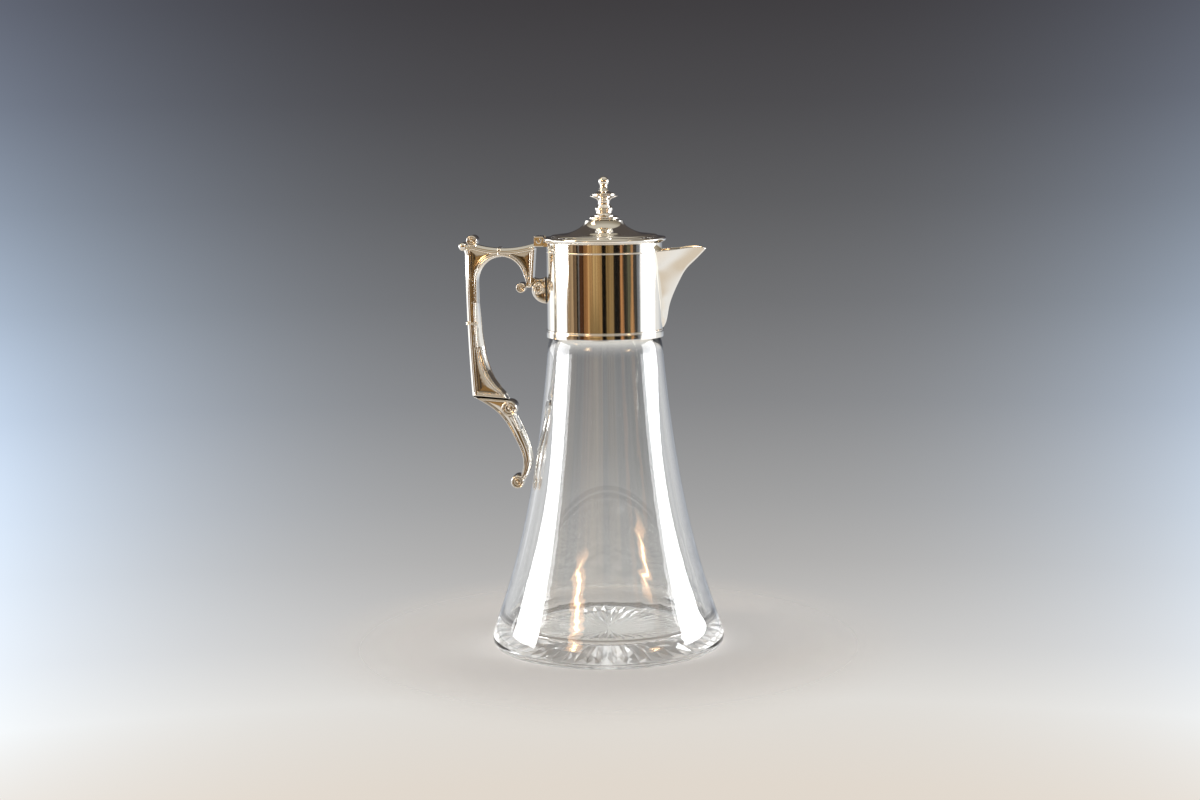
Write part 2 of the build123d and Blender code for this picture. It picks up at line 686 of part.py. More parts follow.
def make_finial_ball():
    """Ball on a short neck, with a blind hole for the stud."""
    bore = STUD_R + FINIAL_BORE_CLEARANCE
    low = finial_levels()[2]
    neck_z = low + BALL_NECK_H
    centre_z = neck_z + sqrt(BALL_R**2 - BALL_NECK_R**2)
    hole_z = low + STUD_IN_BALL + FINIAL_BORE_CLEARANCE
    return turned(
        Line((bore, low), (BALL_FOOT_R, low)),
        Line((BALL_FOOT_R, low), (BALL_NECK_R, neck_z)),
        ThreePointArc((BALL_NECK_R, neck_z), (BALL_R, centre_z), (0, centre_z + BALL_R)),
        Line((0, centre_z + BALL_R), (0, hole_z)),
        Line((0, hole_z), (bore, hole_z)),
        Line((bore, hole_z), (bore, low)),
    )


def washer_top():
    """Underside of the lid's flat top, which the washer bears on."""
    return LID_TOP - LID_WALL


def make_finial_washer():
    """Washer inside the lid."""
    top = washer_top()
    return washer(STUD_R + FINIAL_BORE_CLEARANCE, WASHER_R, top - WASHER_H, top)


def make_finial_nut():
    """Six-sided nut under the washer."""
    top = washer_top() - WASHER_H
    six = Pos(0, 0, top - NUT_H) * RegularPolygon(NUT_ACROSS_FLATS / 2, 6, major_radius=False)
    return extrude(six, NUT_H) - core(STUD_R + FINIAL_BORE_CLEARANCE)


def make_finial_stud():
    """Rod that draws the finial's turned pieces down on the lid."""
    low = washer_top() - WASHER_H - NUT_H - STUD_BELOW_NUT
    high = finial_levels()[2] + STUD_IN_BALL
    return turned_polygon((0, low), (STUD_R, low), (STUD_R, high), (0, high))


PARTS = {
    "glass_body": make_glass_body,
    "plaster_bed": make_plaster_bed,
    "collar_sleeve": make_collar_sleeve,
    "collar_lower_band": make_collar_lower_band,
    "collar_upper_band": make_collar_upper_band,
    "spout": make_spout,
    "handle_grip": make_handle_grip,
    "handle_tail": make_handle_tail,
    "handle_bracket": make_handle_bracket,
    "handle_scroll_eyes": make_handle_scroll_eyes,
    "handle_bead_ties": make_handle_bead_ties,
    "hinge_block": make_hinge_block,
    "hinge_pin": make_hinge_pin,
    "lid_leaf": make_lid_leaf,
    "lid_cover": make_lid_cover,
    "lid_rim_moulding": make_lid_rim_moulding,
    "lid_bezel": make_lid_bezel,
    "finial_base_ring": make_finial_base_ring,
    "finial_baluster": make_finial_baluster,
    "finial_saucer": make_finial_saucer,
    "finial_ball": make_finial_ball,
    "finial_stud": make_finial_stud,
    "finial_washer": make_finial_washer,
    "finial_nut": make_finial_nut,
}

if __name__ == "__main__":
    os.makedirs("parts", exist_ok=True)
    for name, make in PARTS.items():
        export_step(make(), f"parts/{name}.step")
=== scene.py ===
"""Claret jug: the looks of the glass, the silver-plated mounts and the studio round them.

Sizes are in millimetres in the classes and become metres where a mesh is made. The jug's axis is Z, it
stands on Z = 0, the spout points along +X and the handle is on the -X side.
"""

import json
import logging
import math
from collections.abc import Sequence
from dataclasses import dataclass
from enum import Enum

import bmesh
import bpy
import numpy as np
from mathutils import Matrix, Vector
from mathutils.geometry import delaunay_2d_cdt

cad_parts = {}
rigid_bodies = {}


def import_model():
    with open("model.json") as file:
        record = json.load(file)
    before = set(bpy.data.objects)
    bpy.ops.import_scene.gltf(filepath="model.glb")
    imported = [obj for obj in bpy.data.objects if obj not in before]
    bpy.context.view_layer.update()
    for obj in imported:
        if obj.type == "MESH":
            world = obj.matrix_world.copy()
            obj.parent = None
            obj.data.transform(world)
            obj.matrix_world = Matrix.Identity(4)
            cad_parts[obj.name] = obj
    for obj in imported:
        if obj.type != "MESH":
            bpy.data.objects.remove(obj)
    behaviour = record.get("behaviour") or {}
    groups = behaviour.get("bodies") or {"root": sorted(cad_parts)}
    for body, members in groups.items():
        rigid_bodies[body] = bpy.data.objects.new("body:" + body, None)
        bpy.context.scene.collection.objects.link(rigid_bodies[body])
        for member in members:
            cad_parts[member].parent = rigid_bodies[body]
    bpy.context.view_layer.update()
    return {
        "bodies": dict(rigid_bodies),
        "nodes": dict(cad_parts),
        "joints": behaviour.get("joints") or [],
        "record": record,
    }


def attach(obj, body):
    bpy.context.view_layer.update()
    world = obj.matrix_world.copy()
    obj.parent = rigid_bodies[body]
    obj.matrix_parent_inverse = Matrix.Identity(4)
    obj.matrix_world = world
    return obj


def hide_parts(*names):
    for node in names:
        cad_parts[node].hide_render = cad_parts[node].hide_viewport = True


MM = 0.001
LOG = logging.getLogger("claret_jug")

Point = tuple[float, float]
Colour = tuple[float, float, float, float]


class Body(Enum):
    """The two moving bodies of the jug."""

    JUG = "jug"
    LID = "lid"


class Slot(Enum):
    """The record's material slots."""

    GLASS = "clear_glass"
    SILVER = "silver_plate"
    PLASTER = "plaster"
    STEEL = "steel"


# ---------------------------------------------------------------- curves and meshes


def spline(points: Sequence[Point], count: int) -> np.ndarray:
    """Smooth run through points, with curvature that never jumps.

    Args:
        points: The points that it passes through.
        count: How many points it returns.

    Returns:
        An array of count points.
    """
    p = np.array(points, float)
    last = len(p) - 1
    at = np.concatenate([[0.0], np.cumsum(np.linalg.norm(np.diff(p, axis=0), axis=1))])
    gap = np.diff(at)
    system = np.eye(last + 1)
    right = np.zeros_like(p)
    for i in range(1, last):
        system[i, i - 1 : i + 2] = gap[i - 1], 2 * (gap[i - 1] + gap[i]), gap[i]
        right[i] = 6 * ((p[i + 1] - p[i]) / gap[i] - (p[i] - p[i - 1]) / gap[i - 1])
    bend = np.linalg.solve(system, right)
    s = np.linspace(0, at[-1], count)
    i = np.clip(np.searchsorted(at, s, side="right") - 1, 0, last - 1)
    a, b, g = (at[i + 1] - s)[:, None], (s - at[i])[:, None], gap[i][:, None]
    cubic = (bend[i] * a**3 + bend[i + 1] * b**3) / (6 * g)
    return cubic + (p[i] / g - bend[i] * g / 6) * a + (p[i + 1] / g - bend[i + 1] * g / 6) * b


def arc(start: Point, middle: Point, end: Point, count: int) -> np.ndarray:
    """Circular arc through three points.

    Args:
        start: Where it starts.
        middle: A point that it passes through.
        end: Where it ends.
        count: How many points it returns.

    Returns:
        An array of count points.
    """
    (ax, ay), (bx, by), (cx, cy) = start, middle, end
    d = 2 * (ax * (by - cy) + bx * (cy - ay) + cx * (ay - by))
    a2, b2, c2 = ax * ax + ay * ay, bx * bx + by * by, cx * cx + cy * cy
    ux = (a2 * (by - cy) + b2 * (cy - ay) + c2 * (ay - by)) / d
    uy = (a2 * (cx - bx) + b2 * (ax - cx) + c2 * (bx - ax)) / d
    radius = math.hypot(ax - ux, ay - uy)
    first, via, last = (math.atan2(y - uy, x - ux) for x, y in (start, middle, end))
    turn = (last - first) % math.tau
    if (via - first) % math.tau > turn:
        turn -= math.tau
    angles = first + turn * np.linspace(0, 1, count)
    return np.stack([ux + radius * np.cos(angles), uy + radius * np.sin(angles)], axis=1)


def bezier(a: Point, b: Point, c: Point, d: Point, count: int) -> np.ndarray:
    """Cubic run from a to d, pulled towards b and c.

    Args:
        a: Where it starts.
        b: What it heads for first.
        c: What it comes from last.
        d: Where it ends.
        count: How many points it returns.

    Returns:
        An array of count points.
    """
    t = np.linspace(0, 1, count)[:, None]
    pa, pb, pc, pd = (np.array(p, float) for p in (a, b, c, d))
    return (1 - t) ** 3 * pa + 3 * (1 - t) ** 2 * t * pb + 3 * (1 - t) * t**2 * pc + t**3 * pd


def evenly(points: np.ndarray, step: float) -> np.ndarray:
    """A run of points set out again at about one step apart, with both ends kept.

    Args:
        points: The run.
        step: The distance between the new points.

    Returns:
        The new run.
    """
    at = np.concatenate([[0.0], np.cumsum(np.linalg.norm(np.diff(points, axis=0), axis=1))])
    s = np.linspace(0, at[-1], max(2, int(round(at[-1] / step)) + 1))
    return np.stack([np.interp(s, at, points[:, k]) for k in (0, 1)], axis=1)


def eased(points: Sequence[Point], radius: float, steps: int = 4, closed: bool = True) -> list[Point]:
    """An outline with its corners rounded, as polishing leaves them.

    Args:
        points: The outline's corners, in order.
        radius: How far from a corner its rounding starts.
        steps: How many lines make one rounding.
        closed: Whether the last point joins the first.

    Returns:
        The new outline.
    """
    p = [Vector(q) for q in points]
    out: list[Point] = []
    for i, here in enumerate(p):
        before, after = p[i - 1], p[(i + 1) % len(p)]
        if not closed and i in (0, len(p) - 1):
            out.append(tuple(here))
            continue
        to_before, to_after = before - here, after - here
        lengths = to_before.length, to_after.length
        turn = math.pi - to_before.angle(to_after, math.pi)
        cut = min(radius, 0.45 * min(lengths))
        if turn < math.radians(20) or abs(here.x) < 1e-6:
            out.append(tuple(here))
            continue
        a, b = here + to_before.normalized() * cut, here + to_after.normalized() * cut
        for j in range(steps + 1):
            t = j / steps
            out.append(tuple(a * (1 - t) ** 2 + here * (2 * t * (1 - t)) + b * t**2))
    return out


def make_piece(name: str, points: np.ndarray, faces: list[tuple[int, ...]], crease: float = 35.0) -> bpy.types.Object:
    """A smooth-shaded object from points in millimetres.

    Args:
        name: The object's name.
        points: Its points, in the jug's frame.
        faces: Its faces, as runs of point numbers.
        crease: The angle in degrees from which an edge stays sharp.

    Returns:
        The object, linked to the scene.
    """
    mesh = bpy.data.meshes.new(name)
    mesh.from_pydata((np.asarray(points, float) * MM).tolist(), [], faces)
    work = bmesh.new()
    work.from_mesh(mesh)
    bmesh.ops.remove_doubles(work, verts=work.verts, dist=1e-7)
    bmesh.ops.dissolve_degenerate(work, edges=work.edges, dist=1e-7)
    bmesh.ops.recalc_face_normals(work, faces=work.faces)
    work.to_mesh(mesh)
    work.free()
    mesh.shade_smooth()
    mesh.set_sharp_from_angle(angle=math.radians(crease))
    piece = bpy.data.objects.new(name, mesh)
    bpy.context.scene.collection.objects.link(piece)
    return piece


def grid_faces(rows: int, columns: int, close_rows: bool, close_columns: bool) -> list[tuple[int, ...]]:
    """Faces of a grid of points that are numbered row by row.

    Args:
        rows: How many rows there are.
        columns: How many points a row has.
        close_rows: Whether the last row joins the first.
        close_columns: Whether each row is a ring.

    Returns:
        The faces, as runs of four point numbers.
    """
    faces = []
    for i in range(rows if close_rows else rows - 1):
        low, high = i * columns, (i + 1) % rows * columns
        for j in range(columns if close_columns else columns - 1):
            k = (j + 1) % columns
            faces.append((low + j, low + k, high + k, high + j))
    return faces


def lathe(name: str, outline: Sequence[Point], steps: int = 256, crease: float = 35.0) -> bpy.types.Object:
    """A turned piece on the jug's axis.

    Args:
        name: The object's name.
        outline: The closed outline of its section, as (radius, height) points.
        steps: How many columns go round it.
        crease: The angle in degrees from which an edge stays sharp.

    Returns:
        The object.
    """
    section = np.array(outline, float)
    angles = np.arange(steps) * math.tau / steps
    points = np.empty((len(section), steps, 3))
    points[..., 0] = section[:, :1] * np.cos(angles)
    points[..., 1] = section[:, :1] * np.sin(angles)
    points[..., 2] = section[:, 1:]
    faces = grid_faces(len(section), steps, True, True)
    return make_piece(name, points.reshape(-1, 3), faces, crease)


def tube(path: Sequence[Sequence[float]], radius: float, closed: bool = False, sides: int = 10) -> tuple[np.ndarray, list]:
    """A round wire along a path.

    Args:
        path: The points of its middle line.
        radius: The wire's radius.
        closed: Whether the wire is a ring.
        sides: How many sides its section has.

    Returns:
        Its points and faces.
    """
    p = [Vector(q) for q in path]
    n = len(p)
    rings = []
    normal = Vector((0.0, 1.0, 0.0))
    for i, here in enumerate(p):
        before = p[i - 1] if closed or i else here
        after = p[(i + 1) % n] if closed or i < n - 1 else here
        along = (after - before).normalized()
        if abs(along.dot(normal)) > 0.95:
            normal = along.orthogonal().normalized()
        across = along.cross(normal).normalized()
        normal = across.cross(along).normalized()
        turns = [math.tau * k / sides for k in range(sides)]
        rings.append([here + (across * math.cos(t) + normal * math.sin(t)) * radius for t in turns])
    points = np.array([[tuple(v) for v in ring] for ring in rings]).reshape(-1, 3)
    faces = grid_faces(n, sides, closed, True)
    if not closed:
        faces += [tuple(range(sides)), tuple(range((n - 1) * sides, n * sides))]
    return points, faces


def joined(parts: Sequence[tuple[np.ndarray, list]]) -> tuple[np.ndarray, list]:
    """Several runs of points and faces as one.

    Args:
        parts: Pairs of points and faces.

    Returns:
        One pair.
    """
    points, faces, base = [], [], 0
    for some, its in parts:
        points.append(some)
        faces += [tuple(base + i for i in face) for face in its]
        base += len(some)
    return np.concatenate(points), faces


# ---------------------------------------------------------------- shader graphs


class Value:
    """A socket of a node tree, with operators that add Math nodes to the tree."""

    def __init__(self, graph: "Graph", socket: bpy.types.NodeSocket) -> None:
        """Keeps the socket and the graph that it belongs to."""
        self.graph = graph
        self.socket = socket

    def __add__(self, other: "Number") -> "Value":
        """Sum."""
        return self.graph.math("ADD", self, other)

    __radd__ = __add__

    def __sub__(self, other: "Number") -> "Value":
        """Difference."""
        return self.graph.math("SUBTRACT", self, other)

    def __rsub__(self, other: "Number") -> "Value":
        """Difference from a number."""
        return self.graph.math("SUBTRACT", other, self)

    def __mul__(self, other: "Number") -> "Value":
        """Product."""
        return self.graph.math("MULTIPLY", self, other)

    __rmul__ = __mul__

    def __truediv__(self, other: "Number") -> "Value":
        """Quotient."""
        return self.graph.math("DIVIDE", self, other)

    def __pow__(self, other: "Number") -> "Value":
        """Power."""
        return self.graph.math("POWER", self, other)

    def at_least(self, other: "Number") -> "Value":
        """The larger of the two."""
        return self.graph.math("MAXIMUM", self, other)

    def at_most(self, other: "Number") -> "Value":
        """The smaller of the two."""
        return self.graph.math("MINIMUM", self, other)

    def size(self) -> "Value":
        """The value without its sign."""
        return self.graph.math("ABSOLUTE", self)

    def rise(self, low: float, high: float) -> "Value":
        """A smooth step from 0 at low to 1 at high.

        Args:
            low: Where it starts.
            high: Where it ends, which may be below low for a falling step.

        Returns:
            The step.
        """
        settings = {"interpolation_type": "SMOOTHSTEP"}
        if low < high:
            return self.graph.node("ShaderNodeMapRange", settings, {0: self, 1: low, 2: high, 3: 0.0, 4: 1.0})
        return self.graph.node("ShaderNodeMapRange", settings, {0: self, 1: high, 2: low, 3: 1.0, 4: 0.0})


Number = Value | float


class Graph:
    """A node tree that is built from Python expressions."""

    def __init__(self, tree: bpy.types.NodeTree) -> None:
        """Empties the tree and keeps it."""
        tree.nodes.clear()
        self.tree = tree

    def node(self, kind: str, settings: dict | None = None, inputs: dict | None = None, output: int | str = 0) -> Value:
        """Adds a node.

        Args:
            kind: Its type.
            settings: Its properties; "stops" sets a colour ramp's stops as (place, colour) pairs.
            inputs: The values or links of its sockets, by number or name.
            output: Which of its outputs to return.

        Returns:
            That output.
        """
        made = self.tree.nodes.new(kind)
        for key, value in (settings or {}).items():
            if key == "stops":
                self.set_stops(made.color_ramp, value)
            elif key == "ramp":
                made.color_ramp.interpolation = value
            else:
                setattr(made, key, value)
        for key, value in (inputs or {}).items():
            if isinstance(value, Value):
                self.tree.links.new(value.socket, made.inputs[key])
            else:
                made.inputs[key].default_value = value
        return Value(self, made.outputs[output] if made.outputs else made.inputs[0])

    @staticmethod
    def set_stops(ramp: bpy.types.ColorRamp, stops: Sequence[tuple[float, Colour]]) -> None:
        """Gives a colour ramp its stops."""
        while len(ramp.elements) < len(stops):
            ramp.elements.new(1.0)
        for element, (place, colour) in zip(ramp.elements, stops, strict=True):
            element.position, element.color = place, colour

    def math(self, operation: str, *values: Number) -> Value:
        """A Math node on up to three values."""
        return self.node("ShaderNodeMath", {"operation": operation}, dict(enumerate(values)))

    def mix(self, factor: Number, a: Value | Colour, b: Value | Colour, blend: str = "MIX") -> Value:
        """Two colours mixed.

        Args:
            factor: How much of b there is.
            a: The first colour.
            b: The second colour.
            blend: How they are blended.

        Returns:
            The mixed colour.
        """
        settings = {"data_type": "RGBA", "blend_type": blend}
        return self.node("ShaderNodeMix", settings, {0: factor, 6: a, 7: b}, 2)

    def place(self) -> Value:
        """A point of the surface, in metres, in the piece's own frame."""
        return self.node("ShaderNodeTexCoord", None, None, "Object")

    def axes(self, vector: Value) -> tuple[Value, Value, Value]:
        """The three parts of a vector."""
        first = self.node("ShaderNodeSeparateXYZ", None, {0: vector})
        return tuple(Value(self, s) for s in first.socket.node.outputs)

    def noise(self, where: Value, scale: float, detail: float = 2.0, twist: float = 0.0) -> Value:
        """Soft noise from 0 to 1 at a scale per metre."""
        inputs = {"Vector": where, "Scale": scale, "Detail": detail, "Distortion": twist}
        return self.node("ShaderNodeTexNoise", None, inputs)

    def stretched(self, where: Value, factors: tuple[float, float, float]) -> Value:
        """A place with each axis scaled, which draws a texture out along the small ones."""
        return self.node("ShaderNodeVectorMath", {"operation": "MULTIPLY"}, {0: where, 1: factors})

    def bump(self, height: Value, depth: float, under: Value | None = None) -> Value:
        """A normal from a height.

        Args:
            height: The height, from 0 to 1.
            depth: What a height of 1 stands for, in metres.
            under: A normal that it is laid over.

        Returns:
            The new normal.
        """
        inputs = {"Strength": 1.0, "Distance": depth, "Height": height}
        if under is not None:
            inputs["Normal"] = under
        return self.node("ShaderNodeBump", None, inputs)

    def surface(self, shader: Value) -> None:
        """Ends the tree with a shader."""
        kind = "ShaderNodeOutputWorld" if self.is_world() else "ShaderNodeOutputMaterial"
        self.node(kind, None, {"Surface": shader})

    def is_world(self) -> bool:
        """Whether the tree belongs to a world."""
        return any(w.node_tree == self.tree for w in bpy.data.worlds)


def new_material(name: str) -> tuple[bpy.types.Material, Graph]:
    """An empty node material and its graph."""
    material = bpy.data.materials.new(name)
    material.use_nodes = True
    return material, Graph(material.node_tree)


# ---------------------------------------------------------------- finishes


@dataclass(frozen=True)
class SilverFinish:
    """Polished silver plate, with fine hairlines, a slow waviness and a darker tone in its hollows that is partly
    tarnish and partly painted shade.
    """

    name: str
    colour: Colour = (0.93, 0.895, 0.83, 1.0)
    # The tarnish colour and how strongly it is laid into hollows: partly tarnish, partly painted shade.
    tarnish_and_shade_colour: Colour = (0.44, 0.36, 0.25, 1.0)
    tone: float = 0.25
    recess_tarnish_and_shade: float = 0.0
    roughness: float = 0.045
    wave_depth: float = 6e-6
    wave_scale: float = 45.0
    hairline_depth: float = 4e-7

    def build(self) -> bpy.types.Material:
        """The finished material."""
        material, g = new_material(self.name)
        where = g.place()
        cloud = g.noise(where, 160.0, 3.0)
        # Darker tone where Pointiness finds hollows: partly tarnish, partly painted shade.
        hollow = g.node("ShaderNodeNewGeometry", None, None, "Pointiness").rise(0.495, 0.44)
        tarnish_and_shade = (hollow * 0.9 + cloud.rise(0.52, 0.75) * 0.12) * self.tone
        # Darker brown over the casting's deep, outward-facing sunk fields: partly tarnish, partly painted shade.
        if self.recess_tarnish_and_shade:
            y = g.axes(where)[1].size()
            level = g.axes(g.node("ShaderNodeTexCoord", None, None, "Normal"))[1].size().rise(0.74, 0.92)
            tarnish_and_shade = tarnish_and_shade.at_least(y.rise(0.0054, 0.0047) * level * (0.75 + cloud * 0.4) * self.recess_tarnish_and_shade)
        colour = g.mix(tarnish_and_shade.at_most(1.0), self.colour, self.tarnish_and_shade_colour)
        streaks = [
            g.noise(g.stretched(where, factors), 1.0, 1.0, 0.6)
            for factors in ((5200.0, 300.0, 420.0), (340.0, 4700.0, 500.0), (420.0, 360.0, 5600.0))
        ]
        lines = [1.0 - (streak - 0.5).size().rise(0.0, 0.035) for streak in streaks]
        hairlines = lines[0].at_least(lines[1]).at_least(lines[2])
        roughness = self.roughness + cloud * 0.02 + hairlines * 0.035 + tarnish_and_shade * 0.12
        waves = g.bump(g.noise(where, self.wave_scale, 1.5), self.wave_depth)
        normal = g.bump(hairlines, self.hairline_depth, waves)
        inputs = {"Base Color": colour, "Metallic": 1.0, "Roughness": roughness, "Normal": normal}
        g.surface(g.node("ShaderNodeBsdfPrincipled", None, inputs))
        return material


@dataclass(frozen=True)
class GlassFinish:
    """Clear blown crystal, with a faint drift in its surface and a scuffed foot ring."""

    name: str = "clear_crystal"
    colour: Colour = (0.985, 0.992, 0.99, 1.0)
    refraction: float = 1.52
    wave_depth: float = 1.6e-5
    inside_depth: float = 1.6e-4
    waist: float = 0.02507
    swell: float = 0.04273
    flare_from: float = 0.02
    flare_length: float = 0.118
    scuff_height: float = 0.0006
    shadow_through: float = 0.82
    matt: float = 0.2
    gloss_refraction: float = 1.66

    def build(self) -> bpy.types.Material:
        """The finished material."""
        material, g = new_material(self.name)
        where = g.place()
        x, y, z = g.axes(where)
        skin = self.waist + self.swell * g.math("EXPONENT", (self.flare_from - z) / self.flare_length)
        across = (x * x + y * y) ** 0.5
        inside = (skin - across).rise(0.002, 0.003) * z.rise(0.10, 0.04) * z.rise(0.0095, 0.02)
        gloss = (skin - across).rise(0.0012, 0.0006) * z.rise(0.009, 0.012) * z.rise(0.187, 0.18)
        scratch = g.noise(g.stretched(where, (1.0, 1.0, 0.1)), 900.0, 4.0, 2.0).rise(0.5, 0.62)
        scuffed = z.rise(self.scuff_height, 0.0) * scratch
        roughness = 0.002 + scuffed * 0.28
        drift = g.bump(g.noise(g.stretched(where, (1.0, 1.0, 0.35)), 38.0, 1.0), self.wave_depth)
        drift = g.bump(g.noise(where, 110.0, 1.5) * inside, self.inside_depth, drift)
        inputs = {
            "Base Color": self.colour,
            "Roughness": roughness,
            "IOR": self.refraction,
            "Transmission Weight": 1.0,
            "Coat Weight": gloss,
            "Coat IOR": self.gloss_refraction,
            "Coat Roughness": 0.004,
            "Normal": drift,
        }
        glass = g.node("ShaderNodeBsdfPrincipled", None, inputs)
        ground = g.node("ShaderNodeBsdfDiffuse", None, {"Color": (0.93, 0.93, 0.92, 1.0)})
        cut = across.rise(0.0592, 0.0584) * z.rise(0.0027, 0.0024) * self.matt
        glass = g.node("ShaderNodeMixShader", None, {0: cut, 1: glass, 2: ground})
        clear = g.node("ShaderNodeBsdfTransparent", None, {"Color": (1.0, 1.0, 1.0, 1.0)})
        shadow = g.node("ShaderNodeLightPath", None, None, "Is Shadow Ray") * self.shadow_through
        g.surface(g.node("ShaderNodeMixShader", None, {0: shadow, 1: glass, 2: clear}))
        return material


@dataclass(frozen=True)
class PlasterFinish:
    """Cream plaster cement with fine pits."""

    name: str = "neck_plaster"
    light: Colour = (0.80, 0.77, 0.70, 1.0)
    dark: Colour = (0.62, 0.58, 0.50, 1.0)

    def build(self) -> bpy.types.Material:
        """The finished material."""
        material, g = new_material(self.name)
        where = g.place()
        grain = g.noise(where, 900.0, 6.0)
        pits = g.node("ShaderNodeTexVoronoi", None, {"Vector": where, "Scale": 1400.0}).rise(0.0, 0.35)
        colour = g.mix(grain.rise(0.35, 0.7), self.dark, self.light)
        normal = g.bump(grain * 0.5 + pits * 0.5, 1.2e-4)
        inputs = {"Base Color": colour, "Roughness": 0.7 + grain * 0.2, "Normal": normal}
        g.surface(g.node("ShaderNodeBsdfPrincipled", None, inputs))
        return material


@dataclass(frozen=True)
class SteelFinish:
    """Turned steel of the hidden fixings, with rings from the tool."""

    name: str = "turned_steel"
    colour: Colour = (0.56, 0.55, 0.53, 1.0)
    stained: Colour = (0.36, 0.31, 0.25, 1.0)

    def build(self) -> bpy.types.Material:
        """The finished material."""
        material, g = new_material(self.name)
        where = g.place()
        rings = g.noise(g.stretched(where, (60.0, 60.0, 6000.0)), 1.0, 2.0)
        stain = g.noise(where, 420.0, 4.0).rise(0.5, 0.75)
        colour = g.mix(stain * 0.6, self.colour, self.stained)
        roughness = 0.28 + rings * 0.15 + stain * 0.15
        normal = g.bump(rings, 6e-6)
        inputs = {"Base Color": colour, "Metallic": 1.0, "Roughness": roughness, "Normal": normal}
        g.surface(g.node("ShaderNodeBsdfPrincipled", None, inputs))
        return material


@dataclass(frozen=True)
class TableFinish:
    """Pale matt table sheet that fades into the backdrop with distance."""

    name: str = "table_sheet"
    colour: Colour = (0.69, 0.68, 0.67, 1.0)
    fade_from: float = 0.085
    fade_to: float = 0.20

    def build(self) -> bpy.types.Material:
        """The finished material."""
        material, g = new_material(self.name)
        where = g.place()
        away = g.node("ShaderNodeVectorMath", {"operation": "LENGTH"}, {0: where}, 1)
        tint = g.mix(g.noise(where, 9.0, 3.0) * 0.05, self.colour, (0.58, 0.57, 0.565, 1.0))
        matt = g.node("ShaderNodeBsdfDiffuse", None, {"Color": tint})
        clear = g.node("ShaderNodeBsdfTransparent", None, {"Color": (1.0, 1.0, 1.0, 1.0)})
        fade = away.rise(self.fade_from, self.fade_to)
        g.surface(g.node("ShaderNodeMixShader", None, {0: fade, 1: matt, 2: clear}))
        return material


# ---------------------------------------------------------------- studio


